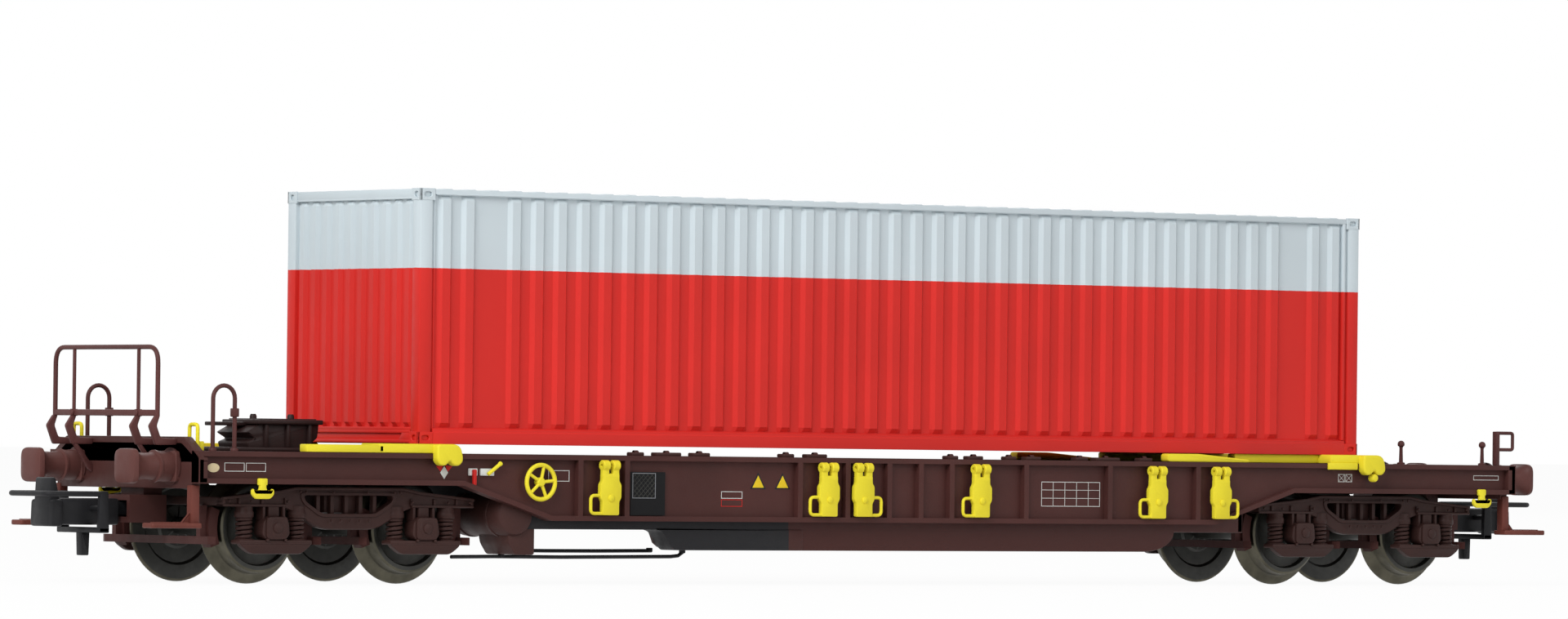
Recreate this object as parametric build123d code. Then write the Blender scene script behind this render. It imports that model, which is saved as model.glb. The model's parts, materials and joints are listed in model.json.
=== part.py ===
"""A model railway pocket wagon, scale 1:87, that carries a 40 ft container.

Millimetres. X runs along the wagon, Y across it with the near side at -Y, and Z up.
The origin is on the floor that the wheel flanges stand on, midway between the bogies.
"""
import os
from math import cos, radians, sin

from build123d import *

# Wheels and axles
tread_radius = 5.3
flange_height = 1.2
back_to_back = 14.4
wheel_width = 2.8
flange_width = 0.8
tread_cone = 0.12
rim_depth = 0.9
web_recess = 0.7
web_slope = 0.5
hub_radius = 1.9
axle_radius = 1.0
journal_radius = 0.55
axle_tip_reach = 12.4
axle_cone_length = 0.9
journal_gap = 0.1

# Bogies
bogie_centres = 152.9
bogie_wheelbase = 20.7
frame_plate_inner = 11.6
frame_plate_thickness = 1.2
frame_top = 11.2
frame_end_top = 10.1
frame_ledge = 8.9
frame_belly = 6.3
frame_flange = 0.35
frame_lip = 0.4
frame_end_reach = 6.95
frame_crown_half = 7.5
frame_belly_start = 8.2
frame_belly_half = 2.6
window_top = 10.3
window_bottom = 8.1
window_half_top = 6.2
window_half_bottom = 3.4
window_bar = 0.5
window_bar_pitch = 2.1
bolster_half = 2.6
bolster_bottom = 8.2
transom_thickness = 0.7
transom_bottom = 9.0
pivot_radius = 1.5
pivot_gap = 0.1
bolster_gap = 0.15

# Axleboxes and springs
axlebox_half = 1.9
axlebox_bottom = 5.1
axlebox_top = 7.8
axlebox_face = 13.6
axlebox_boss = 1.45
axlebox_boss_depth = 0.6
guide_half = 0.7
spring_place = 3.55
spring_radius = 1.0
spring_groove = 0.22
spring_turns = 4
spring_sides = 8
rod_sides = 6
spring_top = 7.7
spring_cap_overhang = 0.1
seat_thickness = 0.5
seat_overhang = 0.35
tie_bottom = 3.5
tie_half_bottom = 3.4
tie_thickness = 1.0

# Brakes
block_gap = 0.3
block_thickness = 1.2
block_half_angle = 20.0
block_edge_gap = 0.2
beam_gap = 0.25
beam_depth = 0.9
beam_height = 0.9
beam_centre = 5.0
beam_reach = 12.0
beam_point = 1.0
hanger_width = 0.8

# Sills
sill_half_length = 98.9
sill_outer = 16.0
sill_depth = 1.6
sill_recess = 0.8
sill_top = 15.2
sill_end_bottom = 11.5
sill_deep_bottom = 7.5
sill_flange = 0.6
taper_inner = 50.0
taper_outer = 62.5
sill_rib = 0.7
sill_rib_places = (-46.0, -39.3, -14.0, -6.9, -0.65, 4.1, 8.8, 20.2, 33.2, 47.1)

# Decks and headstocks
deck_thickness = 1.0
deck_inner = 55.5
headstock_thickness = 1.2
headstock_bottom = 10.9
body_bolster_half = 3.0
end_beam_height = 1.6
end_beam_depth = 1.2
end_beam_slope = 2.0

# Wheel pocket
pocket_skin = 0.6
pocket_wall = 0.8
pocket_wall_top = 9.3
pocket_deep_bottom = 3.8
pocket_raised_bottom = 6.5
pocket_left_edge = 35.0
pocket_left_foot = 32.8
pocket_right_foot = 39.6
pocket_right_edge = 45.5

# Buffers
buffer_reach = 105.4
buffer_spread = 10.1
buffer_centre = 13.4
buffer_width = 5.6
buffer_height = 5.2
buffer_corner = 1.3
buffer_plate = 1.3
buffer_sleeve_radius = 1.9
buffer_crown = 0.35

# Railing and handrails
railing_plane = 101.6
railing_half = 11.0
railing_top = 27.0
railing_corner = 1.6
railing_bar = 0.55
railing_inner_half = 6.9
railing_cross_top = 19.8
railing_cross_bottom = 19.1
railing_inner_bar = 0.46
railing_foot = 15.6
railing_seat_top = 16.5
leg_depth = 1.3
leg_thickness = 0.5
hoop_place = 94.0
hoop_width = 3.0
hoop_top = 22.7
hoop_bar = 0.5
hoop_bend = 1.4
hoop_spread = 13.4
hoop_clamp = 0.8
hoop_clamp_place = 18.6

# Kingpin trestle
trestle_place = 80.7
trestle_half = 5.6
trestle_top = 18.9
trestle_plate = 0.8
trestle_base_half = 6.6
trestle_base = 0.6
trestle_width = 4.2
trestle_pin = 0.4
trestle_pin_height = 0.7
trestle_pin_place = 2.1

# Spigot arms
container_left = 67.7
arm_width = 1.5
arm_bar_height = 0.8
left_arm_tail = 84.4
left_arm_step = 74.4
left_arm_knuckle = 64.4
right_arm_tail = 42.4
right_arm_step = 62.0
right_arm_knuckle = 75.0
knuckle_width = 3.0
knuckle_drop = 2.6
knuckle_thickness = 1.0
peg_radius = 0.45
peg_height = 0.7

# Fold-down brackets
bracket_places = (-42.1, -10.1, -4.9, 12.9, 40.3, 50.4)
bracket_hands = (-1, -1, 1, -1, -1, 1)
bracket_width = 2.9
bracket_neck = 2.3
bracket_top = 14.1
bracket_bottom = 8.2
bracket_shoulder = 11.6
bracket_thickness = 0.7
bracket_eye = 0.55
handle_reach = 1.5
handle_height = 2.6
handle_bar = 0.35

# Handwheels, hooks and levers
handwheel_place = -51.75
handwheel_height = 12.0
handwheel_radius = 2.25
handwheel_rim = 0.3
handwheel_hub = 0.6
handwheel_spokes = 5
handwheel_stand = 0.5
hook_places = (-90.5, 93.0)
hook_top = 12.1
hook_bottom = 9.8
hook_stem = 0.9
hook_half = 1.5
hook_thickness = 0.5
lever_pivots = (-60.9, -59.3)
lever_plate = 1.2
lever_length = 2.1
lever_bar = 0.35
lever_thickness = 0.4

# Steps
step_inner = 97.9
step_outer = 104.6
step_top = 7.0
step_tread = 0.6
step_width = 2.4
step_spread = 14.1
step_post = 1.1

# Lever posts at the right end
post_places = (96.7, 86.0)
post_radius = 0.3
post_top = 17.6
post_spread = 12.0
flag_place = 99.4
flag_width = 0.7
flag_top = 19.5
flag_loop = 2.6
flag_loop_height = 2.5
flag_bar = 0.45

# End spigots at the left end
loop_eye_spread = 12.4
loop_eye_width = 1.7
loop_eye_top = 18.2
loop_eye_bar = 0.45
loop_eye_place = 97.9
loop_plate_half = 5.2
loop_plate_height = 1.2
loop_plate_gap = 1.0

# Below the floor
casing_left = 55.2
casing_right = 46.5
casing_bottom = 3.7
casing_step = 5.2
casing_near = 10.2
casing_far = 1.4
casing_corner = 0.8
rod_radius = 0.3
rod_height = 3.25
rod_left_end = 54.6
rod_right_end = 30.4
rod_spreads = (-7.2, -3.4)
rod_guide = 0.6
rod_guide_inset = 1.5

# Couplers
coupler_pivot = 97.5
coupler_box_rear = 95.2
coupler_box_front = 100.2
coupler_box_half = 3.4
coupler_box_bottom = 6.9
coupler_box_top = 10.1
coupler_box_wall = 0.6
coupler_post_half = 2.4
shank_half = 1.2
shank_bottom = 7.7
shank_top = 9.3
head_front = 110.0
head_depth = 1.6
head_half = 2.4
head_bottom = 6.4
head_top = 9.6
head_plate_top = 12.0
head_plate = 0.6
loop_pivot = 104.3
loop_pivot_height = 8.5
loop_tip = 112.0
loop_half = 4.6
loop_bar = 0.7
loop_gap = 0.2
drop_pin_bottom = 3.1
drop_pin_width = 1.2
coupler_pin_radius = 0.8

# Label panels
panel_place = -36.0
panel_width = 5.0
panel_height = 5.1
panel_bottom = 8.2
panel_thickness = 0.3

# Container
container_length = 142.0
container_width = 28.0
container_height = 29.6
container_bottom = 16.3
casting_length = 2.1
casting_width = 1.9
casting_height = 1.4
post_width = 1.7
rail_height = 1.2
rail_width = 0.9
wall_thickness = 0.8
corrugation_depth = 0.42
corrugation_pitch = 3.3
crest_share = 0.38
slope_share = 0.14
end_corrugation_pitch = 2.7
roof_rib = 0.25
roof_pitch = 2.4
header_height = 1.7
end_sill_height = 1.5
wall_inset = 0.15
floor_thickness = 0.9
cross_member_pitch = 6.0
cross_member_width = 0.7
door_recess = 0.3
door_gap = 0.1
door_panel_rows = 4
lock_bar_radius = 0.3
lock_bar_places_share = (0.22, 0.72)

# Worked out from the sizes above
flange_radius = tread_radius + flange_height
axle_height = flange_radius
wheel_back = back_to_back / 2
wheel_face = wheel_back + wheel_width
bogie_place = bogie_centres / 2
axle_place = bogie_wheelbase / 2
frame_plate_outer = frame_plate_inner + frame_plate_thickness
frame_half = axle_place + frame_end_reach
sill_web_face = sill_outer - sill_recess
sill_inner = sill_outer - sill_depth
deck_bottom = sill_top - deck_thickness
headstock_inner = sill_half_length - headstock_thickness
container_right = container_length - container_left
container_top = container_bottom + container_height
container_half = container_width / 2
overrun = 1.0


def plate_y(outline, y_low, y_high):
    """A plate with an outline in X and Z that fills y_low to y_high."""
    face = make_face(Polyline(*outline, close=True))
    plane = Plane((0, y_high, 0), x_dir=(1, 0, 0), z_dir=(0, -1, 0))
    return extrude(plane * face, amount=y_high - y_low)


def plate_x(outline, x_low, x_high):
    """A plate with an outline in Y and Z that fills x_low to x_high."""
    face = make_face(Polyline(*outline, close=True))
    plane = Plane((x_low, 0, 0), x_dir=(0, 1, 0), z_dir=(1, 0, 0))
    return extrude(plane * face, amount=x_high - x_low)


def plate_z(outline, z_low, z_high):
    """A plate with an outline in X and Y that fills z_low to z_high."""
    face = make_face(Polyline(*outline, close=True))
    return extrude(Plane((0, 0, z_low)) * face, amount=z_high - z_low)


def block(x_low, x_high, y_low, y_high, z_low, z_high):
    """A square-edged block between two corners."""
    size = Box(x_high - x_low, y_high - y_low, z_high - z_low)
    return Pos((x_low + x_high) / 2, (y_low + y_high) / 2, (z_low + z_high) / 2) * size


def rod(start, end, radius):
    """A thin moulded rod, six-sided, from one point to another."""
    line = Line(start, end)
    return sweep(Plane(start, z_dir=line % 0) * RegularPolygon(radius, rod_sides), path=line)


def bent_rod(points, bend, radius):
    """A thin six-sided rod that follows straight runs with bends of one radius."""
    path = FilletPolyline(*points, radius=bend)
    return sweep(Plane(path @ 0, z_dir=path % 0) * RegularPolygon(radius, rod_sides), path=path)


def stacked(sections, sides):
    """A many-sided column along Z through sections of (height, radius)."""
    return loft([Plane((0, 0, z)) * RegularPolygon(radius, sides) for z, radius in sections], ruled=True)


def ring_y(outer, inner, y_low, y_high):
    """A flat ring with straight-sided outlines in X and Z that fills y_low to y_high."""
    return plate_y(outer, y_low, y_high) - plate_y(inner, y_low - overrun, y_high + overrun)


def cut_corners(x_low, x_high, z_low, z_high, cut):
    """A rectangle's outline in X and Z with its corners cut off."""
    return [(x_low + cut, z_low), (x_high - cut, z_low), (x_high, z_low + cut), (x_high, z_high - cut),
            (x_high - cut, z_high), (x_low + cut, z_high), (x_low, z_high - cut), (x_low, z_low + cut)]


def fused(pieces):
    """One solid from pieces that meet."""
    pieces = list(pieces)
    return pieces[0] + pieces[1:] if len(pieces) > 1 else pieces[0]


def flip_y(shape):
    """The same piece on the far side."""
    return mirror(shape, about=Plane.XZ)


def flip_x(shape):
    """The same piece at the other end."""
    return mirror(shape, about=Plane.YZ)


def wheelset():
    """Two wheels on a pointed axle, turned as one piece about Y, with its middle at the origin."""
    tread_outer = tread_radius - tread_cone
    half = [
        (0, 0), (axle_radius, 0), (axle_radius, wheel_back),
        (flange_radius, wheel_back), (tread_radius, wheel_back + flange_width), (tread_outer, wheel_face),
        (tread_radius - rim_depth, wheel_face), (tread_radius - rim_depth - web_slope, wheel_face - web_recess),
        (hub_radius, wheel_face - web_recess), (journal_radius, wheel_face),
        (journal_radius, axle_tip_reach - axle_cone_length), (0, axle_tip_reach),
    ]
    profile = make_face(Polyline(*half, close=True))
    side = revolve(profile, axis=Axis.Y)
    return Pos(0, 0, axle_height) * (side + flip_y(side))


def side_frame():
    """The pressed side frame of a bogie: crown, belly, window and a lip round its edge."""
    half_edge = [
        (0, frame_top), (frame_crown_half, frame_top), (frame_half, frame_end_top),
        (frame_half, frame_ledge), (frame_belly_start, frame_ledge), (frame_belly_half, frame_belly),
    ]
    outline = half_edge + [(-x, z) for x, z in reversed(half_edge[1:])]
    plate = plate_y(outline, -frame_plate_outer, -frame_plate_inner)
    window = [
        (-window_half_top, window_top), (window_half_top, window_top),
        (window_half_top - frame_lip, window_top - frame_lip * 2),
        (window_half_bottom, window_bottom), (-window_half_bottom, window_bottom),
        (-window_half_top + frame_lip, window_top - frame_lip * 2),
    ]
    plate -= plate_y(window, -frame_plate_outer - overrun, -frame_plate_inner + overrun)
    bars = [
        block(x - window_bar / 2, x + window_bar / 2, -frame_plate_outer + frame_lip,
              -frame_plate_inner, window_bottom, window_top)
        for x in (-window_bar_pitch, 0, window_bar_pitch)
    ]
    ledge = block(-frame_half, frame_half, -frame_plate_outer - frame_lip, -frame_plate_outer,
                  frame_end_top - frame_flange, frame_end_top)
    shelves = [
        block(x_low, x_high, -frame_plate_outer - frame_lip, -frame_plate_inner,
              frame_ledge, frame_ledge + frame_flange)
        for x_low, x_high in ((-frame_half, -frame_belly_start), (frame_belly_start, frame_half))
    ]
    slopes = [
        plate_y([(side * frame_crown_half, frame_top), (side * frame_half, frame_end_top),
                 (side * frame_half, frame_end_top - frame_flange),
                 (side * frame_crown_half, frame_top - frame_flange)],
                -frame_plate_outer - frame_lip, -frame_plate_outer)
        for side in (-1, 1)
    ]
    crown = block(-frame_crown_half, frame_crown_half, -frame_plate_outer - frame_lip,
                  -frame_plate_outer, frame_top - frame_flange, frame_top)
    cap_radius = spring_radius + spring_cap_overhang
    middle_y = -(frame_plate_inner + frame_plate_outer) / 2
    caps = [
        Pos(axle + side * spring_place, middle_y, 0)
        * stacked([(spring_top, cap_radius), (frame_ledge + frame_flange, cap_radius)], spring_sides)
        for axle in (-axle_place, axle_place) for side in (-1, 1)
    ]
    return fused([plate, crown] + bars + shelves + slopes + caps)


def bogie_frame():
    """Both side frames, the bolster between them, and the end transoms."""
    near = side_frame()
    bolster = block(-bolster_half, bolster_half, -frame_plate_inner, frame_plate_inner,
                    bolster_bottom, frame_top)
    transoms = [
        block(x_low, x_low + transom_thickness, -frame_plate_inner, frame_plate_inner,
              transom_bottom, frame_end_top)
        for x_low in (-frame_half, frame_half - transom_thickness)
    ]
    pivot = Pos(0, 0, (frame_top + sill_top) / 2) * Cylinder(pivot_radius, sill_top - frame_top)
    return fused([near, flip_y(near), bolster, pivot] + transoms)


def axlebox():
    """One axlebox with its round cover, its guide up to the frame and its boat-shaped spring seat."""
    back, face = -frame_plate_inner, -axlebox_face
    seat_half = spring_place + spring_radius + seat_overhang
    body = plate_y(cut_corners(-axlebox_half, axlebox_half, axlebox_bottom, axlebox_top, guide_half), face, back)
    cover = Pos(0, face - axlebox_boss_depth / 2, axle_height) * Rot(90, 0, 0) * Cylinder(
        axlebox_boss, axlebox_boss_depth)
    guide = block(-guide_half, guide_half, -frame_plate_outer, back, axlebox_top, frame_ledge)
    seat = block(-seat_half, seat_half, face, back, axlebox_bottom - seat_thickness, axlebox_bottom)
    boat = plate_y(
        [(-seat_half, axlebox_bottom - seat_thickness), (seat_half, axlebox_bottom - seat_thickness),
         (tie_half_bottom, tie_bottom), (-tie_half_bottom, tie_bottom)],
        face, face + tie_thickness)
    socket = Pos(0, 0, axle_height) * revolve(make_face(Polyline(
        (0, wheel_face), (journal_radius + journal_gap, wheel_face),
        (journal_radius + journal_gap, axle_tip_reach - axle_cone_length + journal_gap),
        (0, axle_tip_reach + journal_gap), close=True)), axis=Axis.Y)
    return fused([body, cover, guide, seat, boat]) - flip_y(socket)


def bogie_axleboxes():
    """Four axleboxes, one at each wheel."""
    near = [Pos(x, 0, 0) * axlebox() for x in (-axle_place, axle_place)]
    return near + [flip_y(piece) for piece in near]


def coil_spring():
    """A spring as a stack of turns, between its seat and the frame's ledge."""
    pitch = (spring_top - axlebox_bottom) / spring_turns
    sections = []
    for turn in range(spring_turns):
        low = axlebox_bottom + turn * pitch
        sections += [(low, spring_radius - spring_groove), (low + pitch / 2, spring_radius)]
    sections.append((spring_top, spring_radius - spring_groove))
    middle_y = -(frame_plate_inner + frame_plate_outer) / 2
    return Pos(0, middle_y, 0) * stacked(sections, spring_sides)


def bogie_springs():
    """Two springs at each axlebox."""
    near = [
        Pos(axle + side * spring_place, 0, 0) * coil_spring()
        for axle in (-axle_place, axle_place) for side in (-1, 1)
    ]
    return near + [flip_y(piece) for piece in near]


def brake_block(side):
    """A curved brake block on one side of a wheel whose centre is at X zero."""
    inner, outer = tread_radius + block_gap, tread_radius + block_gap + block_thickness
    low, high = -block_half_angle, block_half_angle
    arc_in = [(inner * cos(radians(a)), inner * sin(radians(a))) for a in (low, 0, high)]
    arc_out = [(outer * cos(radians(a)), outer * sin(radians(a))) for a in (high, 0, low)]
    edge = [ThreePointArc(*arc_in), Line(arc_in[-1], arc_out[0]), ThreePointArc(*arc_out),
            Line(arc_out[-1], arc_in[0])]
    plane = Plane((0, -wheel_back - flange_width - block_edge_gap, axle_height),
                  x_dir=(1, 0, 0), z_dir=(0, -1, 0))
    width = wheel_width - flange_width - block_edge_gap * 2
    shape = extrude(plane * make_face(edge), amount=width)
    return shape if side > 0 else flip_x(shape)


def bogie_brakes():
    """Four brake beams with pointed ends, each with two blocks and their hangers."""
    beams = []
    beam_low = flange_radius + beam_gap
    for axle in (-axle_place, axle_place):
        for side in (-1, 1):
            centre = axle + side * (beam_low + beam_depth / 2)
            half = beam_depth / 2
            beam = plate_z(
                [(centre - half, -beam_reach + beam_point), (centre, -beam_reach),
                 (centre + half, -beam_reach + beam_point), (centre + half, beam_reach - beam_point),
                 (centre, beam_reach), (centre - half, beam_reach - beam_point)],
                beam_centre - beam_height / 2, beam_centre + beam_height / 2)
            inward = (axle > 0) != (side > 0)
            hanger_top = bolster_bottom if inward else transom_bottom
            y_mid = wheel_back + flange_width + (wheel_width - flange_width) / 2
            block_back = axle + side * (tread_radius + block_gap + block_thickness / 2)
            hanger_x = sorted((block_back, centre + side * half))
            links = [
                block(*hanger_x, y - hanger_width / 2, y + hanger_width / 2,
                      beam_centre - beam_height / 2, beam_centre + beam_height / 2)
                for y in (-y_mid, y_mid)
            ]
            hangers = [
                block(centre - half, centre + half, y - hanger_width / 2, y + hanger_width / 2,
                      beam_centre, hanger_top)
                for y in (-y_mid, y_mid)
            ]
            shoe = Pos(axle, 0, 0) * brake_block(side)
            beams.append(fused([beam, shoe, flip_y(shoe)] + hangers + links))
    return beams


def sill():
    """The near side sill: a deep recessed web between two flanges, tapered to the ends, with ribs."""
    def outline(inset, end_inset):
        half, top = sill_half_length - end_inset, sill_top - inset
        low, deep = sill_end_bottom + inset, sill_deep_bottom + inset
        right = [(half, top), (half, low), (taper_outer, low), (taper_inner, deep)]
        return right + [(-x, z) for x, z in reversed(right)]

    body = plate_y(outline(0, 0), -sill_outer, -sill_inner)
    body -= plate_y(outline(sill_flange, sill_flange), -sill_outer - overrun, -sill_web_face)
    ribs = [
        block(x - sill_rib / 2, x + sill_rib / 2, -sill_outer, -sill_web_face,
              sill_deep_bottom + sill_flange / 2, sill_top - sill_flange / 2)
        for x in sill_rib_places
    ]
    return fused([body] + ribs)


def deck(side):
    """The end deck over a bogie, with the cross bolster that the bogie turns under."""
    plate = block(deck_inner, headstock_inner, -sill_inner, sill_inner, deck_bottom, sill_top)
    bolster_low = frame_top + bolster_gap
    half = body_bolster_half
    bolster = block(bogie_place - half, bogie_place + half, -wheel_back, wheel_back, bolster_low, deck_bottom)
    hole = Pos(bogie_place, 0, (bolster_low + sill_top) / 2) * Cylinder(
        pivot_radius + pivot_gap, sill_top - bolster_low + overrun)
    shape = plate + bolster - hole
    return shape if side > 0 else flip_x(shape)


def headstock(side):
    """The end beam that carries the buffers; the left one has a raised sloping beam on top."""
    plate = block(headstock_inner, sill_half_length, -sill_inner, sill_inner, headstock_bottom, sill_top)
    if side > 0:
        return plate
    top = sill_top + end_beam_height
    beam = plate_x(
        [(-sill_outer, sill_top), (sill_outer, sill_top), (sill_inner - end_beam_slope, top),
         (end_beam_slope - sill_inner, top)],
        sill_half_length - end_beam_depth, sill_half_length)
    return flip_x(plate + beam)


def wheel_pocket():
    """The sunk trough: a pressed floor at two levels with upright side walls inside the sills."""
    line = [
        (-deck_inner, pocket_raised_bottom), (-pocket_left_edge, pocket_raised_bottom),
        (-pocket_left_foot, pocket_deep_bottom), (pocket_right_foot, pocket_deep_bottom),
        (pocket_right_edge, pocket_raised_bottom), (deck_inner, pocket_raised_bottom),
    ]
    upper = [(x, z + pocket_skin) for x, z in reversed(line)]
    floor = plate_y(line + upper, -sill_inner, sill_inner)
    walls = [
        plate_y(line + [(deck_inner, pocket_wall_top), (-deck_inner, pocket_wall_top)], low, low + pocket_wall)
        for low in (-sill_inner, sill_inner - pocket_wall)
    ]
    ends = [
        block(*sorted((side * (deck_inner - pocket_wall), side * deck_inner)), -sill_inner, sill_inner,
              pocket_raised_bottom, deck_bottom)
        for side in (-1, 1)
    ]
    return fused([floor] + walls + ends)


def buffer(side):
    """One buffer: a round sleeve that flares into a cushion-shaped plate."""
    root = Plane((sill_half_length, 0, 0), x_dir=(0, 1, 0), z_dir=(1, 0, 0))
    neck = sill_half_length + (buffer_reach - sill_half_length) / 2
    sleeve = extrude(root * Circle(buffer_sleeve_radius), amount=neck - sill_half_length)
    plate_back = buffer_reach - buffer_plate
    flare = loft([
        Plane((neck, 0, 0), x_dir=(0, 1, 0), z_dir=(1, 0, 0)) * RectangleRounded(
            buffer_width - buffer_corner, buffer_height - buffer_corner, buffer_corner),
        Plane((plate_back, 0, 0), x_dir=(0, 1, 0), z_dir=(1, 0, 0)) * RectangleRounded(
            buffer_width, buffer_height, buffer_corner),
    ])
    plate = extrude(Plane((plate_back, 0, 0), x_dir=(0, 1, 0), z_dir=(1, 0, 0)) * RectangleRounded(
        buffer_width, buffer_height, buffer_corner), amount=buffer_plate)
    plate = chamfer(plate.faces().sort_by(Axis.X)[-1].edges(), buffer_crown)
    shape = Pos(0, 0, buffer_centre) * fused([sleeve, flare, plate])
    return shape if side > 0 else flip_x(shape)


def buffers(side):
    """The two buffers at one end."""
    one = buffer(side)
    return [Pos(0, y, 0) * one for y in (-buffer_spread, buffer_spread)]


def railing():
    """The railing at the left end: a bent frame, two inner bars, a flat cross strip and four legs."""
    r = railing_bar / 2
    x = -railing_plane
    frame = bent_rod(
        [(x, -railing_half, railing_cross_bottom), (x, -railing_half, railing_top),
         (x, railing_half, railing_top), (x, railing_half, railing_cross_bottom)], railing_corner, r)
    inner = [
        rod((x, y, railing_cross_bottom), (x, y, railing_top), railing_inner_bar / 2)
        for y in (-railing_inner_half, railing_inner_half)
    ]
    strip = block(x - r, x + r, -railing_half, railing_half, railing_cross_bottom, railing_cross_top)
    middle = (railing_cross_bottom + railing_foot) / 2
    leg = [
        (x + r, railing_cross_top), (x - leg_thickness, railing_cross_top), (x - leg_depth, middle),
        (x - r, railing_foot), (-sill_half_length, railing_foot), (-sill_half_length, railing_seat_top),
        (x + leg_thickness, railing_seat_top), (x - r, middle),
    ]
    legs = [
        plate_y(leg, y - leg_thickness / 2, y + leg_thickness / 2)
        for y in (-railing_half, -railing_inner_half, railing_inner_half, railing_half)
    ]
    return fused([frame, strip] + inner + legs)


def handrail_hoops():
    """Two inverted U handrails with a small clamp on one leg."""
    low, high = -hoop_place - hoop_width / 2, -hoop_place + hoop_width / 2
    hoops = []
    for y in (-hoop_spread, hoop_spread):
        hoop = bent_rod([(low, y, sill_top), (low, y, hoop_top), (high, y, hoop_top), (high, y, sill_top)],
                        hoop_bend, hoop_bar / 2)
        half = hoop_clamp / 2
        clamp = block(high - half, high + half, y - half, y + half,
                      hoop_clamp_place - half, hoop_clamp_place + half)
        hoops.append(hoop + clamp)
    return hoops


def kingpin_trestle():
    """The dark support over the left bogie, with a top plate and two small pins."""
    x = -trestle_place
    base_top = sill_top + trestle_base
    plate_low = trestle_top - trestle_plate
    body = plate_y(
        [(x - trestle_base_half, sill_top), (x + trestle_base_half, sill_top),
         (x + trestle_base_half, base_top), (x + trestle_half / 2, base_top),
         (x + trestle_half, plate_low), (x + trestle_half, trestle_top),
         (x - trestle_half, trestle_top), (x - trestle_half, plate_low),
         (x - trestle_half / 2, base_top), (x - trestle_base_half, base_top)],
        -trestle_width, trestle_width)
    pins = [
        Pos(x + place, 0, trestle_top + trestle_pin_height / 2) * Cylinder(trestle_pin, trestle_pin_height)
        for place in (-trestle_pin_place, trestle_pin_place)
    ]
    return fused([body] + pins)


def spigot_arm(tail, step, knuckle, corner):
    """A yellow arm along the sill top with a raised pad, a peg for the casting and a hooked knuckle."""
    y_mid = -sill_outer + sill_depth / 2
    inner, outer = y_mid + arm_width / 2, -sill_outer
    bar = block(tail, step, outer, inner, sill_top, sill_top + arm_bar_height)
    half = knuckle_width / 2
    pad = block(step, knuckle + half, outer, casting_width - container_half, sill_top, container_bottom)
    hook = plate_y(
        [(knuckle - half, container_bottom), (knuckle + half / 2, container_bottom),
         (knuckle + half, sill_top), (knuckle + half, sill_top - knuckle_drop / 2),
         (knuckle + half / 3, sill_top - knuckle_drop / 2 - half / 3),
         (knuckle, sill_top - knuckle_drop), (knuckle - half, sill_top - knuckle_drop)],
        -sill_outer - knuckle_thickness, -sill_outer)
    peg = Pos(corner, -container_half + casting_width / 2, container_bottom + peg_height / 2) * Cylinder(
        peg_radius, peg_height)
    return fused([bar, pad, hook, peg])


def spigot_arms():
    """The two arms on the near sill, one under each end of the container."""
    left_corner = -container_left + casting_length / 2
    right_corner = container_right - casting_length / 2
    return [
        spigot_arm(-left_arm_tail, -left_arm_step, -left_arm_knuckle, left_corner),
        spigot_arm(right_arm_tail, right_arm_step, right_arm_knuckle, right_corner),
    ]


def stop_bracket(hand):
    """A fold-down bracket that hangs on the sill: two eyes on top, shoulders and a D-shaped handle."""
    half, neck, eye = bracket_width / 2, bracket_neck / 2, bracket_eye
    half_edge = [
        (neck - eye * 2, bracket_top), (neck - eye * 3 / 2, bracket_top + eye), (neck - eye / 2, bracket_top + eye),
        (neck, bracket_top + eye / 2), (neck, bracket_shoulder + neck / 2), (half, bracket_shoulder),
        (half, bracket_shoulder - neck / 2), (neck, bracket_shoulder - neck), (neck, bracket_bottom),
    ]
    outline = [(-x, z) for x, z in reversed(half_edge)] + half_edge
    front, back = -sill_outer - bracket_thickness, -sill_outer
    plate = plate_y(outline, front, back)
    reach = neck + handle_reach
    low, high = bracket_bottom, bracket_bottom + handle_height
    middle = (front + back) / 2
    handle = ring_y(
        cut_corners(0, reach, low, high, handle_bar),
        cut_corners(handle_bar, reach - handle_bar, low + handle_bar, high - handle_bar, handle_bar / 2),
        middle - handle_bar / 2, middle + handle_bar / 2)
    return fused([plate, handle if hand > 0 else flip_x(handle)])


def stop_brackets():
    """Six brackets along the near sill."""
    return [Pos(x, 0, 0) * stop_bracket(hand) for x, hand in zip(bracket_places, bracket_hands)]


def handwheel():
    """The five-spoke brake wheel on its short spindle."""
    r = handwheel_rim
    y = -sill_web_face - handwheel_stand - r
    plane = Plane((handwheel_place, y, handwheel_height), x_dir=(1, 0, 0), z_dir=(0, -1, 0))
    rim = Pos(0, 0, -r) * extrude(Circle(handwheel_radius) - Circle(handwheel_radius - r * 2), amount=r * 2)
    spokes = [
        Rot(0, 0, turn * 360 / handwheel_spokes) * Pos((handwheel_radius - r) / 2, 0, 0) * Box(
            handwheel_radius - r, r * 2, r)
        for turn in range(handwheel_spokes)
    ]
    hub = Pos(0, 0, -handwheel_stand / 2) * Cylinder(handwheel_hub, handwheel_stand + r * 2)
    return plane.location * fused([rim, hub] + spokes)


def rope_hook():
    """A double hook: a stem with an anchor-shaped foot."""
    half, stem = hook_half, hook_stem / 2
    middle = (hook_top + hook_bottom) / 2
    curl = hook_half / 3
    outline = [
        (-stem, hook_top), (stem, hook_top), (stem, hook_bottom + curl * 2), (half - curl, hook_bottom + curl),
        (half - curl / 2, middle), (half, middle - curl / 2), (half, hook_bottom + curl),
        (half - curl, hook_bottom), (curl - half, hook_bottom), (-half, hook_bottom + curl),
        (-half, middle - curl / 2), (curl / 2 - half, middle), (curl - half, hook_bottom + curl),
        (-stem, hook_bottom + curl * 2),
    ]
    return plate_y(outline, -sill_outer - hook_thickness, -sill_outer)


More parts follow.
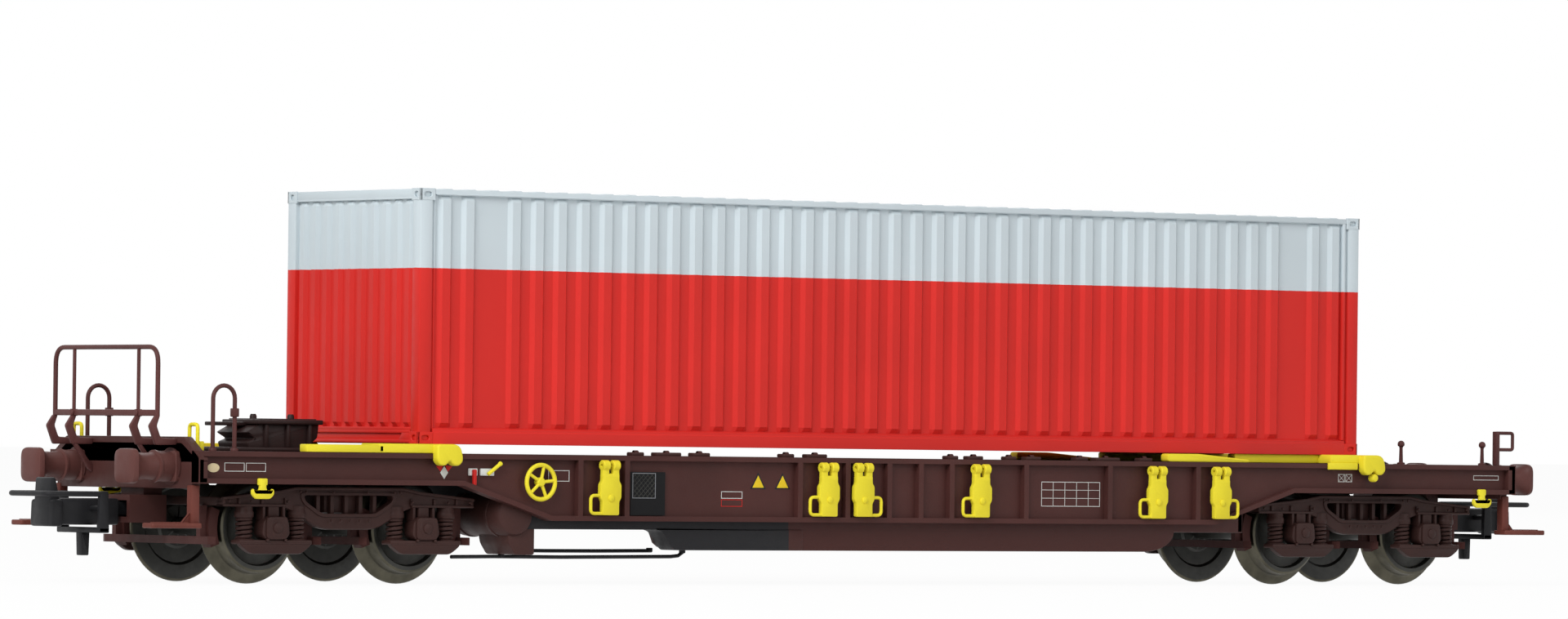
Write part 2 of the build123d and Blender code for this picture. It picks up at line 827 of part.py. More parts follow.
def rope_hooks():
    """Two hooks on each sill."""
    near = [Pos(x, 0, 0) * rope_hook() for x in hook_places]
    return near + [flip_y(piece) for piece in near]


def step(side):
    """A shunter's step: a post from the headstock with a tread that reaches outwards."""
    y, half = step_spread, step_width / 2
    tread = block(step_inner, step_outer, y - half, y + half, step_top - step_tread, step_top)
    post = block(step_inner, step_inner + step_post, y - step_post / 2, y + step_post / 2,
                 step_top, headstock_bottom)
    shape = tread + post
    return shape if side > 0 else flip_x(shape)


def steps(side):
    """The near and the far step at one end."""
    far = step(side)
    return [far, flip_y(far)]


def lever_posts():
    """Two small levers with round knobs and a lamp bracket with a loop, on the right end's deck."""
    knob = post_radius * 2
    column = stacked([
        (sill_top, post_radius), (post_top - knob, post_radius), (post_top - knob / 2, knob),
        (post_top + knob / 2, knob), (post_top + knob, post_radius)], spring_sides)
    posts = [Pos(x, y, 0) * column for x, y in zip(post_places, (-post_spread, post_spread))]
    half = flag_width / 2
    y = -post_spread
    post = block(flag_place - flag_width, flag_place, y - half, y + half, sill_top, flag_top)
    low_x, high_x = flag_place - flag_bar, flag_place + flag_loop
    ring = ring_y(
        cut_corners(low_x, high_x, flag_top - flag_loop_height, flag_top, flag_bar),
        cut_corners(low_x + flag_bar, high_x - flag_bar, flag_top - flag_loop_height + flag_bar,
                    flag_top - flag_bar, flag_bar / 2),
        y - flag_bar / 2, y + flag_bar / 2)
    return posts + [post + ring]


def end_spigots():
    """Yellow loops and low plates that lie on the left headstock's deck."""
    r = loop_eye_bar / 2
    x = -loop_eye_place + loop_eye_bar
    pieces = []
    for y in (-loop_eye_spread, loop_eye_spread):
        half = loop_eye_width / 2
        loop = bent_rod([(x, y - half, sill_top), (x, y - half, loop_eye_top), (x, y + half, loop_eye_top),
                         (x, y + half, sill_top)], loop_eye_bar, r)
        pieces.append(loop)
    plate = block(x + loop_plate_gap, x + loop_plate_gap + loop_plate_height, -loop_plate_half,
                  loop_plate_half, sill_top, sill_top + loop_plate_height)
    return pieces + [plate]


def changeover_lever(x, turn):
    """A small square plate on the sill's web with a lever across it."""
    plane = Plane((x, -sill_web_face, (sill_top + sill_end_bottom) / 2), x_dir=(1, 0, 0), z_dir=(0, -1, 0))
    plate = Pos(0, 0, lever_thickness / 2) * Box(lever_plate, lever_plate, lever_thickness)
    bar = Rot(0, 0, turn) * Pos(0, -lever_length / 2 + lever_bar, lever_thickness) * Box(
        lever_bar, lever_length, lever_thickness * 2)
    return plane.location * (plate + bar)


def changeover_levers():
    """The two levers on each side."""
    near = [changeover_lever(x, turn) for x, turn in zip(lever_pivots, (0, 130))]
    return near + [flip_y(piece) for piece in near]


def brake_casing():
    """The brake cylinder's casing under the left end of the pocket."""
    outline = [
        (-casing_left, pocket_raised_bottom), (-casing_left, casing_step),
        (-casing_left + casing_step - casing_bottom, casing_bottom),
        (-casing_right, casing_bottom), (-casing_right, pocket_raised_bottom),
    ]
    body = plate_y(outline, -casing_near, -casing_far)
    return fillet(body.edges().filter_by(Axis.X).sort_by(Axis.Z)[:2], casing_corner)


def brake_rods():
    """Two pull rods that hang in guides below the casing and the pocket."""
    rods = []
    for y in rod_spreads:
        bar = rod((-rod_left_end, y, rod_height), (-rod_right_end, y, rod_height), rod_radius)
        guides = [
            block(x - rod_guide / 2, x + rod_guide / 2, y - rod_guide / 2, y + rod_guide / 2, rod_height, top)
            for x, top in ((-rod_left_end + rod_guide_inset, casing_bottom),
                           (-casing_right - rod_guide_inset, casing_bottom),
                           (-rod_right_end - rod_guide_inset, pocket_deep_bottom))
        ]
        rods.append(fused([bar] + guides))
    return rods


def coupler_box(side):
    """The pocket that carries the coupler, hung from the deck behind the headstock."""
    outer = block(coupler_box_rear, coupler_box_front, -coupler_box_half, coupler_box_half,
                  coupler_box_bottom, coupler_box_top)
    wall = coupler_box_wall
    slot = block(coupler_box_rear + wall, coupler_box_front + overrun, wall - coupler_box_half,
                 coupler_box_half - wall, shank_bottom - bolster_gap, shank_top + bolster_gap)
    post = block(coupler_box_rear, headstock_inner, -coupler_post_half, coupler_post_half,
                 coupler_box_top, deck_bottom)
    pin = Pos(coupler_pivot, 0, (coupler_box_bottom + coupler_box_top) / 2) * Cylinder(
        coupler_pin_radius, coupler_box_top - coupler_box_bottom)
    shape = outer - slot + pin + post
    return shape if side > 0 else flip_x(shape)


def coupler(side):
    """The coupler's shank and head, which swings on the pin in its box."""
    eye = Pos(coupler_pivot, 0, (shank_bottom + shank_top) / 2) * Cylinder(
        coupler_pin_radius + shank_half / 2, shank_top - shank_bottom)
    shank = block(coupler_pivot, head_front - head_depth, -shank_half, shank_half, shank_bottom, shank_top)
    head = block(head_front - head_depth, head_front, -head_half, head_half, head_bottom, head_top)
    plate = block(head_front - head_plate, head_front, -head_half, head_half, head_top, head_plate_top)
    hole = Pos(coupler_pivot, 0, (shank_bottom + shank_top) / 2) * Cylinder(
        coupler_pin_radius + pivot_gap, shank_top)
    cross = Pos(loop_pivot, 0, loop_pivot_height) * Rot(90, 0, 0) * Cylinder(
        loop_bar / 2 + journal_gap, head_half * 3)
    shape = fused([eye, shank, head, plate]) - hole - cross
    return shape if side > 0 else flip_x(shape)


def coupler_loop(side):
    """The loop that lies round the coupler's head, with its cross pin and drop pin."""
    z = head_top + loop_gap
    arms = [
        block(loop_pivot, loop_tip, y - loop_bar / 2, y + loop_bar / 2, z, z + loop_bar)
        for y in (-loop_half + loop_bar / 2, loop_half - loop_bar / 2)
    ]
    tip = block(loop_tip - loop_bar, loop_tip, -loop_half, loop_half, z, z + loop_bar)
    cheeks = [
        plate_y([(loop_pivot - loop_bar, loop_pivot_height - loop_bar), (loop_pivot + loop_bar, loop_pivot_height - loop_bar),
                 (loop_pivot + loop_bar, z + loop_bar), (loop_pivot - loop_bar, z + loop_bar)],
                y - loop_bar / 2, y + loop_bar / 2)
        for y in (-loop_half + loop_bar / 2, loop_half - loop_bar / 2)
    ]
    axle = Pos(loop_pivot, 0, loop_pivot_height) * Rot(90, 0, 0) * Cylinder(loop_bar / 2, loop_half * 2 - loop_bar)
    yoke = block(loop_pivot - loop_bar, loop_pivot + loop_bar, -loop_half, loop_half,
                 head_bottom - loop_bar, head_bottom)
    yoke_cheeks = [
        block(loop_pivot - loop_bar, loop_pivot + loop_bar, y - loop_bar / 2, y + loop_bar / 2,
              head_bottom - loop_bar, loop_pivot_height)
        for y in (-loop_half + loop_bar / 2, loop_half - loop_bar / 2)
    ]
    half = drop_pin_width / 2
    drop = block(loop_pivot - half, loop_pivot + half, -half, half, drop_pin_bottom, head_bottom)
    shape = fused(arms + [tip, axle, yoke, drop] + cheeks + yoke_cheeks)
    return shape if side > 0 else flip_x(shape)


def label_panels():
    """A mesh panel in front of the web on each sill."""
    low, high = panel_place - panel_width / 2, panel_place + panel_width / 2
    top = panel_bottom + panel_height
    panel = block(low, high, -sill_web_face - panel_thickness, -sill_web_face, panel_bottom, top)
    return [panel, flip_y(panel)]


def corrugated(start, end, pitch, depth):
    """The outline of a pressed sheet from start to end: crests at zero, troughs at minus depth."""
    count = max(1, round((end - start) / pitch))
    step_length = (end - start) / count
    points = []
    for index in range(count):
        x = start + index * step_length
        crest, slope = step_length * crest_share, step_length * slope_share
        points += [(x + crest / 2, 0), (x + crest / 2 + slope, -depth),
                   (x + step_length - crest / 2 - slope, -depth), (x + step_length - crest / 2, 0)]
    return [(start, 0)] + points + [(end, 0)]


def container_side():
    """The near side of the container: pressed sheet between a top and a bottom rail."""
    low_x = -container_left + casting_length
    high_x = container_right - casting_length
    face = -container_half + wall_inset
    crest = corrugated(low_x, high_x, corrugation_pitch, corrugation_depth)
    outline = [(x, face - out) for x, out in crest] + [
        (x, face - out + wall_thickness) for x, out in reversed(crest)]
    sheet = plate_z(outline, container_bottom + rail_height, container_top - rail_height)
    rails = [
        block(low_x, high_x, -container_half, -container_half + rail_width, z, z + rail_height)
        for z in (container_bottom, container_top - rail_height)
    ]
    return fused([sheet] + rails)


def container_frame(side):
    """An end frame: two posts, four slotted corner castings, a header and a sill."""
    x_end = container_right if side > 0 else -container_left
    inward = -side
    half = container_half
    pieces = []
    for y_side in (-1, 1):
        post_x = sorted((x_end, x_end + inward * casting_length))
        post_y = sorted((y_side * half, y_side * (half - post_width)))
        pieces.append(block(*post_x, *post_y, container_bottom + casting_height / 2,
                            container_top - casting_height / 2))
        for z in (container_bottom, container_top - casting_height):
            casting_x = sorted((x_end, x_end + inward * casting_length))
            casting_y = sorted((y_side * half, y_side * (half - casting_width)))
            pieces.append(block(*casting_x, *casting_y, z, z + casting_height))
    beam_x = sorted((x_end, x_end + inward * casting_length))
    span = half - casting_width
    pieces.append(block(*beam_x, -span, span, container_top - header_height, container_top))
    pieces.append(block(*beam_x, -span, span, container_bottom, container_bottom + end_sill_height))
    frame = fused(pieces)
    for y_side in (-1, 1):
        centre_x = x_end + inward * casting_length / 2
        hole = Pos(centre_x, y_side * (half - casting_width / 2), container_bottom) * Cylinder(
            peg_radius + pivot_gap, (peg_height + pivot_gap) * 2)
        frame -= hole
    return frame


def container_end_wall():
    """The pressed front wall at the left end."""
    span = container_half - post_width
    face = -container_left + wall_inset
    crest = corrugated(-span, span, end_corrugation_pitch, corrugation_depth)
    outline = [(face - out, y) for y, out in crest] + [
        (face - out + wall_thickness, y) for y, out in reversed(crest)]
    return plate_z(outline, container_bottom + end_sill_height, container_top - header_height)


def container_door(y_side):
    """One door leaf at the right end with recessed panels, two lock bars and its hinges."""
    span = container_half - post_width
    low, high = sorted((y_side * door_gap / 2, y_side * (span - door_gap)))
    bottom = container_bottom + end_sill_height + door_gap
    top = container_top - header_height - door_gap
    face = container_right - lock_bar_radius * 2
    leaf = block(face - wall_thickness, face, low, high, bottom, top)
    row_height = (top - bottom) / door_panel_rows
    rim = row_height / 6
    for row in range(door_panel_rows):
        z = bottom + row * row_height
        leaf -= block(face - door_recess, face + overrun, low + rim, high - rim, z + rim, z + row_height - rim)
    width = high - low
    proud = face + lock_bar_radius / 2
    bars = [
        rod((proud, low + share * width, bottom + rim / 2), (proud, low + share * width, top - rim / 2),
            lock_bar_radius)
        for share in lock_bar_places_share
    ]
    return fused([leaf] + bars)


def container_roof():
    """The roof sheet with low pressed ribs across it, between the top rails."""
    low_x, high_x = -container_left + casting_length, container_right - casting_length
    crest = corrugated(low_x, high_x, roof_pitch, roof_rib)
    top = container_top
    outline = [(x, top + out) for x, out in crest] + [(high_x, top - wall_thickness), (low_x, top - wall_thickness)]
    span = container_half - rail_width
    return plate_y(outline, -span, span)


def container_floor():
    """The floor sheet on cross members, between the bottom rails."""
    low_x, high_x = -container_left + casting_length, container_right - casting_length
    span = container_half - rail_width
    top = container_bottom + rail_height
    sheet = block(low_x, high_x, -span, span, top - floor_thickness / 2, top)
    count = int((high_x - low_x) / cross_member_pitch)
    start = (low_x + high_x) / 2 - (count - 1) * cross_member_pitch / 2
    members = [
        block(x - cross_member_width / 2, x + cross_member_width / 2, -span, span,
              container_bottom, top - floor_thickness / 2)
        for x in (start + index * cross_member_pitch for index in range(count))
    ]
    return fused([sheet] + members)


def gather():
    """Every node's name and its solid or solids."""
    nodes = {
        "sill_near": sill(), "sill_far": flip_y(sill()),
        "wheel_pocket": wheel_pocket(),
        "railing": railing(), "handrail_hoops": handrail_hoops(), "kingpin_trestle": kingpin_trestle(),
        "spigot_arms_near": spigot_arms(), "spigot_arms_far": [flip_y(arm) for arm in spigot_arms()],
        "stop_brackets_near": stop_brackets(), "stop_brackets_far": [flip_y(one) for one in stop_brackets()],
        "handwheel_near": handwheel(), "handwheel_far": flip_y(handwheel()),
        "rope_hooks": rope_hooks(), "end_spigots": end_spigots(), "lever_posts": lever_posts(),
        "changeover_levers": changeover_levers(), "label_panels": label_panels(),
        "brake_casing": brake_casing(), "brake_rods": brake_rods(),
        "container_side_near": container_side(), "container_side_far": flip_y(container_side()),
        "container_roof": container_roof(), "container_floor": container_floor(),
        "container_end_wall": container_end_wall(),
        "container_door_near": container_door(-1), "container_door_far": container_door(1),
    }
    for name, side in (("left", -1), ("right", 1)):
        nodes["deck_" + name] = deck(side)
        nodes["headstock_" + name] = headstock(side)
        nodes["buffers_" + name] = buffers(side)
        nodes["steps_" + name] = steps(side)
        nodes["coupler_box_" + name] = coupler_box(side)
        nodes["coupler_" + name] = coupler(side)
        nodes["coupler_loop_" + name] = coupler_loop(side)
        nodes["container_frame_" + name] = container_frame(side)
        place = Pos(side * bogie_place, 0, 0)
        nodes["bogie_frame_" + name] = place * bogie_frame()
        nodes["axleboxes_" + name] = [place * piece for piece in bogie_axleboxes()]
        nodes["springs_" + name] = [place * piece for piece in bogie_springs()]
        nodes["brakes_" + name] = [place * piece for piece in bogie_brakes()]
        for which, offset in (("outer", side * axle_place), ("inner", -side * axle_place)):
            nodes["wheelset_" + name + "_" + which] = place * Pos(offset, 0, 0) * wheelset()
    return nodes


def main():
    os.makedirs("parts", exist_ok=True)
    for name, shape in gather().items():
        solids = shape if isinstance(shape, list) else [shape]
        node = solids[0] if len(solids) == 1 else Compound(children=solids)
        export_step(node, "parts/" + name + ".step")


main()
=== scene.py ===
"""The looks of a model pocket wagon with a container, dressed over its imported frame.

Metres. X runs along the wagon, the near side is at -Y and Z is up. New pieces are surfaces worked out as
whole arrays: rings of points carried along a line, with each place taken from the frame's own boxes.
"""
import json

import bmesh
import bpy
import numpy as np
from mathutils import Matrix, Vector

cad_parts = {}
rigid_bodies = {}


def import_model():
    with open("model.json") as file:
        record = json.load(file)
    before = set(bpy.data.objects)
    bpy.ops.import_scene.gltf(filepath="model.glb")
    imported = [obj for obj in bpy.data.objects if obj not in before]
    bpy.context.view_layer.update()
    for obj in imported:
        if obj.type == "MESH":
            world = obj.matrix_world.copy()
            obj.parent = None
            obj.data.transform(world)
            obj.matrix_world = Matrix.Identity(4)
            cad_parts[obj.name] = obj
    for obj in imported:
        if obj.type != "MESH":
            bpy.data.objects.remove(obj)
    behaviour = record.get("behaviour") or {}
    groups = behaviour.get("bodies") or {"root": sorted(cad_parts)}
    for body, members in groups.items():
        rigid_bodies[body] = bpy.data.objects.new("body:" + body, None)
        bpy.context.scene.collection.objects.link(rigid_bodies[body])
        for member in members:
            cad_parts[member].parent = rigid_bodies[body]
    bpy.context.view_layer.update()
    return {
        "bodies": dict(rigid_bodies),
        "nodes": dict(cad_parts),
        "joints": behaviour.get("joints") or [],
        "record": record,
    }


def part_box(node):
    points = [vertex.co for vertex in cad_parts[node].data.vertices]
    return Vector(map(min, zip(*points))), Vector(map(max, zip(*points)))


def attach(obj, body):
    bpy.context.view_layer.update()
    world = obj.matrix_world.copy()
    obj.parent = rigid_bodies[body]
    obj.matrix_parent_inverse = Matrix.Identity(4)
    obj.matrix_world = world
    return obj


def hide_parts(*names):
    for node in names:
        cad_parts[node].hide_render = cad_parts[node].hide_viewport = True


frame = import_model()

MM = 0.001
TURN = 2 * np.pi

# The photograph's view, fitted to the wheels, buffers and container corners
VIEW_AZIMUTH = np.radians(36.54)
VIEW_ELEVATION = np.radians(-0.93)
VIEW_ROLL = np.radians(0.67)
VIEW_TARGET = np.array([-4.9, 0.0, 33.1]) * MM
VIEW_DISTANCE = 1063 * MM
LENS = 201.5
SENSOR = 36.0

# Colours of the finishes, as they look in plain light, in eight-bit steps
BROWN = (72, 42, 39)
BROWN_DARK = (66, 42, 39)
BOGIE_BROWN = (56, 36, 33)
BUFFER_BROWN = (90, 55, 51)
RAIL_BROWN = (84, 50, 48)
STEP_BROWN = (104, 56, 48)
YELLOW = (232, 217, 52)
SIGN_YELLOW = (226, 196, 40)
BLACK = (34, 34, 36)
TRESTLE_BROWN = (40, 27, 26)
PANEL_BLACK = (14, 14, 16)
CREAM = (228, 210, 168)
CONTAINER_RED = (206, 44, 38)
CONTAINER_GREY = (196, 207, 212)
WHEEL_BLACK = (52, 52, 48)
STEEL_DARK = (62, 62, 57)
STEEL_BRIGHT = (80, 77, 66)
WHITE = (214, 216, 212)
WIRE = (128, 130, 134)
SIGNAL_RED = (190, 40, 36)
FLOOR = (240, 240, 240)
SHEEN = 0.16
PLASTIC_GRAIN = 0.02 * MM
NOISE_ROUGHNESS = 0.55

# Sizes of the fittings, in millimetres, where the frame's boxes don't give them
FLANGE_HEIGHT = 1.2
WHEEL_BACK = 7.2
WHEEL_WIDTH = 2.8
AXLE_RADIUS = 1.0
JOURNAL_RADIUS = 0.55
AXLE_HEIGHT = 6.5
AXLE_PLACE = 10.35
SPRING_TURNS = 5
SPRING_WIRE = 0.21
SPRING_RADIUS = 1.0
SPRING_PLACE = 3.55
BOX_COVER_REACH = 0.6
BUFFER_HALF = (2.2, 2.0)
BUFFER_SPREAD = 10.1
BUFFER_CENTRE = 13.4
RAILING_STAND = 2.5
BAR_RADIUS = 0.275
STRIP_RISE = 2.3
ARCH_BAR = 0.9
INNER_BAR = 6.9
CLAMP_RISE = 4.4
SPOKE_TURN = 5.6
EYE_RADIUS = 0.62
BRACKET_HALF = 1.5
BRACKET_PLACES = (-42.1, -10.1, -4.9, 12.9, 40.3, 50.4)
BRACKET_HANDS = (-1, -1, 1, -1, -1, 1)
SILL_WEB = 15.2

# The container's pressed sheets, castings and posts, in millimetres; ribs as shares of their pitch
CONTAINER_LEFT, CONTAINER_RIGHT = -67.7, 74.3
CONTAINER_HALF = 14.0
SIDE_RIBS = 42
SIDE_FLATS = (2, 39)
FRONT_RIBS = 10
CREST_HALF = 0.168
PRESS_SLOPE = 0.14
PRESS_DEPTH = 0.45
BOTTOM_RAIL = 1.84
TOP_RAIL = 0.7
ROOF_RIB = 0.2
CASTING = (2.1, 1.9, 0.25)
CASTING_TALL = 1.4
POST_WIDTH = 1.7
POST_DEPTH = 1.75
HEADER = 1.15
HINGE_SHARES = (0.07, 0.36, 0.61, 0.9)
FLAT_CREASE = np.radians(24)

# Blank signs on the sills: left, right, low and high edges in millimetres
SIGN_BOXES = ((-50.1, -47.1, 12.1, 13.4), (-25.1, -22.0, 10.25, 11.1), (-95.0, -92.3, 12.9, 13.9),
              (-92.1, -89.4, 12.9, 13.9), (70.2, 71.25, 12.9, 13.9), (71.4, 72.45, 12.9, 13.9),
              (92.5, 96.7, 13.3, 13.9), (23.1, 32.2, 9.6, 12.6))
RED_BOX = (-25.1, -22.0, 9.3, 10.15)
CROSSED_BOXES = (70.25, 71.45)
TABLE = (23.1, 32.2, 9.6, 12.6)
TRIANGLE_PLACES = (-19.7, -16.1)
SILL_LUGS = ((-37.9, -36.1), (-34.4, -30.7), (-29.0, -26.5), (-15.9, -14.1), (-12.2, -9.2), (8.9, 10.6),
             (12.1, 14.4), (17.9, 19.5), (21.0, 23.3), (28.7, 30.6), (31.8, 35.6), (38.7, 40.7))
DIAMOND = np.array([-64.8, 13.0])
OVAL = np.array([-96.5, 13.3])

# Where the container changes from red to grey, as a share of its height
COLOUR_LINE_SHARE = 0.688

# Where the trough's painted shade, in black, gives way to its brown plastic
POCKET_PAINTED_SHADE_EDGE = -14.55 * MM

# The studio: the light from all round, the floor's share of plain white to the eye, and each lamp's name,
# place, width in metres and power
WORLD_LIGHT = 0.42
EYE_SHARE = 0.95
PLAIN_WHITE = (1, 1, 1, 1)
LAMPS = (("key lamp", (-1.0, -0.55, 0.75), 0.7, 13.0), ("side lamp", (0.35, -1.3, 0.6), 0.8, 3.0),
         ("back lamp", (0.8, 1.0, 0.9), 0.9, 3.0))

# The brake tank's middle, the pull rods' radius, the couplers' axis and the outer edge of decks and sills
TANK_PLACE = (-54.3, 0, 8.2)
ROD_RADIUS = 0.22
COUPLER_AXIS = 8.5
DECK_HALF = 14.4
SILL_OUTSIDE = 16.0


def linear(colour):
    """An eight-bit colour as linear light: the sRGB curve, undone."""
    share = np.array(colour) / 255
    light = np.where(share <= 0.04045, share / 12.92, ((share + 0.055) / 1.055) ** 2.4)
    return (*light.tolist(), 1.0)


class Nodes:
    """A material's node tree, with short calls to add and link nodes."""

    def __init__(self, name):
        """A new material, with its shader and the place on the object."""
        self.material = bpy.data.materials.new(name)
        self.material.use_nodes = True
        self.tree = self.material.node_tree
        self.shader = self.tree.nodes["Principled BSDF"]
        self.place = self.add("ShaderNodeTexCoord").outputs["Object"]

    def add(self, kind, **settings):
        """A new node with its settings."""
        node = self.tree.nodes.new(kind)
        for key, value in settings.items():
            setattr(node, key, value)
        return node

    def link(self, source, target):
        """A link from one node's output to another's input."""
        self.tree.links.new(source, target)

    def noise(self, scale, detail=3.0):
        """Soft random values from 0 to 1 over the object."""
        node = self.add("ShaderNodeTexNoise")
        self.link(self.place, node.inputs["Vector"])
        node.inputs["Scale"].default_value = scale
        node.inputs["Detail"].default_value = detail
        node.inputs["Roughness"].default_value = NOISE_ROUGHNESS
        return node.outputs["Fac"]

    def ramp(self, source, low, high, low_value, high_value):
        """A value carried along a straight line from one range to another."""
        node = self.add("ShaderNodeMapRange")
        self.link(source, node.inputs["Value"])
        for socket, value in zip(("From Min", "From Max", "To Min", "To Max"),
                                 (low, high, low_value, high_value)):
            node.inputs[socket].default_value = value
        return node.outputs["Result"]

    def math(self, operation, first, second):
        """Two values put together by one operation."""
        node = self.add("ShaderNodeMath", operation=operation)
        for socket, value in zip(node.inputs, (first, second)):
            if isinstance(value, (int, float)):
                socket.default_value = value
            else:
                self.link(value, socket)
        return node.outputs[0]

    def mix(self, share, first, second):
        """Two colours mixed by a share from 0 to 1."""
        node = self.add("ShaderNodeMix", data_type="RGBA")
        inputs = {"share": node.inputs[0], "first": node.inputs[6], "second": node.inputs[7]}
        for key, value in (("share", share), ("first", first), ("second", second)):
            if isinstance(value, (int, float, tuple)):
                inputs[key].default_value = value
            else:
                self.link(value, inputs[key])
        return node.outputs[2]

    def axes(self):
        """The three coordinates of the place on the object."""
        node = self.add("ShaderNodeSeparateXYZ")
        self.link(self.place, node.inputs[0])
        return node.outputs

    def bump(self, height, strength, depth):
        """The shader's normal, tilted by a height with a strength and a depth."""
        node = self.add("ShaderNodeBump")
        node.inputs["Strength"].default_value = strength
        node.inputs["Distance"].default_value = depth
        self.link(height, node.inputs["Height"])
        self.link(node.outputs["Normal"], self.shader.inputs["Normal"])

    def finish(self, colour, roughness, metallic=0.0, specular=0.5):
        """The shader's inputs filled in, and the finished material."""
        for socket, value in (("Base Color", colour), ("Roughness", roughness)):
            if isinstance(value, (int, float, tuple)):
                self.shader.inputs[socket].default_value = value
            else:
                self.link(value, self.shader.inputs[socket])
        self.shader.inputs["Metallic"].default_value = metallic
        self.shader.inputs["Specular IOR Level"].default_value = specular
        return self.material


def shade(colour, factor):
    """The same colour, lighter or darker."""
    return tuple(min(255, step * factor) for step in colour)


def moulded_plastic(name, colour, roughness=0.5, spread=0.10):
    """Satin moulded plastic: broad soft tone changes, a fine grain and a slightly uneven gloss."""
    n = Nodes(name)
    broad = n.ramp(n.noise(70, 2.0), 0.3, 0.7, 0.0, 1.0)
    tone = n.mix(broad, linear(shade(colour, 1 - spread)), linear(shade(colour, 1 + spread)))
    speck = n.ramp(n.noise(5200, 2.0), 0.35, 0.75, 0.0, 0.22)
    tone = n.mix(speck, tone, linear(shade(colour, 1 - spread * 2.2)))
    gloss = n.ramp(n.noise(900, 3.0), 0.3, 0.7, roughness - 0.06, roughness + 0.08)
    n.bump(n.noise(6500, 2.0), 0.35, PLASTIC_GRAIN)
    return n.finish(tone, gloss, specular=SHEEN)


def container_paint():
    """Satin paint: red below and pale grey above, with a wavering edge and soft changes of tone."""
    n = Nodes("container paint")
    low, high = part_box("container_side_near")
    line = low.z + (high.z - low.z) * COLOUR_LINE_SHARE
    z = n.axes()["Z"]
    waver = n.ramp(n.noise(1200, 2.0), 0.0, 1.0, -0.04 * MM, 0.04 * MM)
    above = n.math("GREATER_THAN", n.math("ADD", z, waver), line)
    soft = n.ramp(n.noise(45, 2.0), 0.3, 0.7, 0.0, 1.0)
    red = n.mix(soft, linear(shade(CONTAINER_RED, 0.97)), linear(shade(CONTAINER_RED, 1.03)))
    grey = n.mix(soft, linear(shade(CONTAINER_GREY, 0.98)), linear(shade(CONTAINER_GREY, 1.02)))
    tone = n.mix(above, red, grey)
    gloss = n.ramp(n.noise(700, 3.0), 0.3, 0.7, 0.34, 0.46)
    n.bump(n.noise(5200, 2.0), 0.25, 0.012 * MM)
    return n.finish(tone, gloss, specular=SHEEN)


def pocket_plastic_with_painted_shade():
    """The trough's plastic: brown, with painted shade in black towards the left end, where the trough lies
    in shadow.
    """
    n = Nodes("pocket plastic with painted shade")
    x = n.axes()["X"]
    # Painted shade: black left of the edge, the brown plastic right of it
    beyond_painted_shade = n.math("GREATER_THAN", x, POCKET_PAINTED_SHADE_EDGE)
    grain = n.ramp(n.noise(5200, 2.0), 0.35, 0.75, 0.0, 0.25)
    # The black is painted shade, standing in for the shadow over the trough's left end
    black = n.mix(grain, linear(shade(BLACK, 1.15)), linear(shade(BLACK, 0.85)))
    brown = n.mix(grain, linear(BROWN), linear(shade(BROWN, 0.8)))
    n.bump(n.noise(6500, 2.0), 0.3, 0.02 * MM)
    gloss = n.ramp(n.noise(900, 3.0), 0.3, 0.7, 0.4, 0.55)
    return n.finish(n.mix(beyond_painted_shade, black, brown), gloss, specular=SHEEN)


def turned_metal(name, colour, metallic):
    """Metal with soft tone changes and fine marks."""
    n = Nodes(name)
    soft = n.ramp(n.noise(400, 3.0), 0.3, 0.7, 0.0, 1.0)
    tone = n.mix(soft, linear(shade(colour, 0.85)), linear(shade(colour, 1.15)))
    n.bump(n.noise(4200, 2.0), 0.3, 0.01 * MM)
    return n.finish(tone, n.ramp(n.noise(1500, 2.0), 0.3, 0.7, 0.32, 0.48), metallic=metallic)


materials = {
    "brown": moulded_plastic("brown plastic", BROWN),
    "dark_brown": moulded_plastic("dark brown plastic", BROWN_DARK),
    "bogie_brown": moulded_plastic("bogie plastic", BOGIE_BROWN, roughness=0.46),
    "buffer_brown": moulded_plastic("buffer plastic", BUFFER_BROWN, roughness=0.44),
    "rail_brown": moulded_plastic("railing plastic", RAIL_BROWN, roughness=0.46),
    "step_brown": moulded_plastic("step plastic", STEP_BROWN),
    "yellow": moulded_plastic("yellow plastic", YELLOW, spread=0.03),
    "sign_yellow": moulded_plastic("sign yellow", SIGN_YELLOW, spread=0.03),
    "black": moulded_plastic("black plastic", BLACK, roughness=0.42),
    "white_plastic": moulded_plastic("white print", WHITE, spread=0.03),
    "signal_red": moulded_plastic("signal red", SIGNAL_RED, spread=0.04),
    "pale_wire": moulded_plastic("pale net", WIRE, spread=0.05),
    "trestle_brown": moulded_plastic("trestle plastic", TRESTLE_BROWN, roughness=0.44),
    "panel_black": moulded_plastic("panel plastic", PANEL_BLACK, roughness=0.46),
    "cream": moulded_plastic("cream print", CREAM, roughness=0.46),
    "paint": container_paint(),
    # The trough's brown plastic, with painted shade in black at its left end
    "pocket": pocket_plastic_with_painted_shade(),
    "dark_metal": turned_metal("blackened metal", STEEL_DARK, 0.75),
    "wheel_black": turned_metal("wheel black", WHEEL_BLACK, 0.35),
    "tread": turned_metal("bright tread", STEEL_BRIGHT, 0.9),
}

NODE_FINISH = (
    ("container_", "paint"), ("spigot_arms", "yellow"), ("stop_brackets", "yellow"), ("handwheel", "yellow"),
    ("rope_hooks", "yellow"), ("label_panels", "panel_black"), ("end_spigots", "yellow"),
    ("kingpin_trestle", "black"), ("steps_", "step_brown"),
    ("coupler_box", "brown"), ("coupler_", "black"), ("wheelset_", "dark_metal"), ("wheel_pocket", "pocket"),
    ("brake_rods", "black"), ("brake_casing", "dark_brown"),
)


def finish_of(name):
    """The finish of a node, by the first heading that its name starts with; the rest is brown plastic."""
    for heading, finish in NODE_FINISH:
        if name.startswith(heading):
            return materials[finish]
    return materials["brown"]


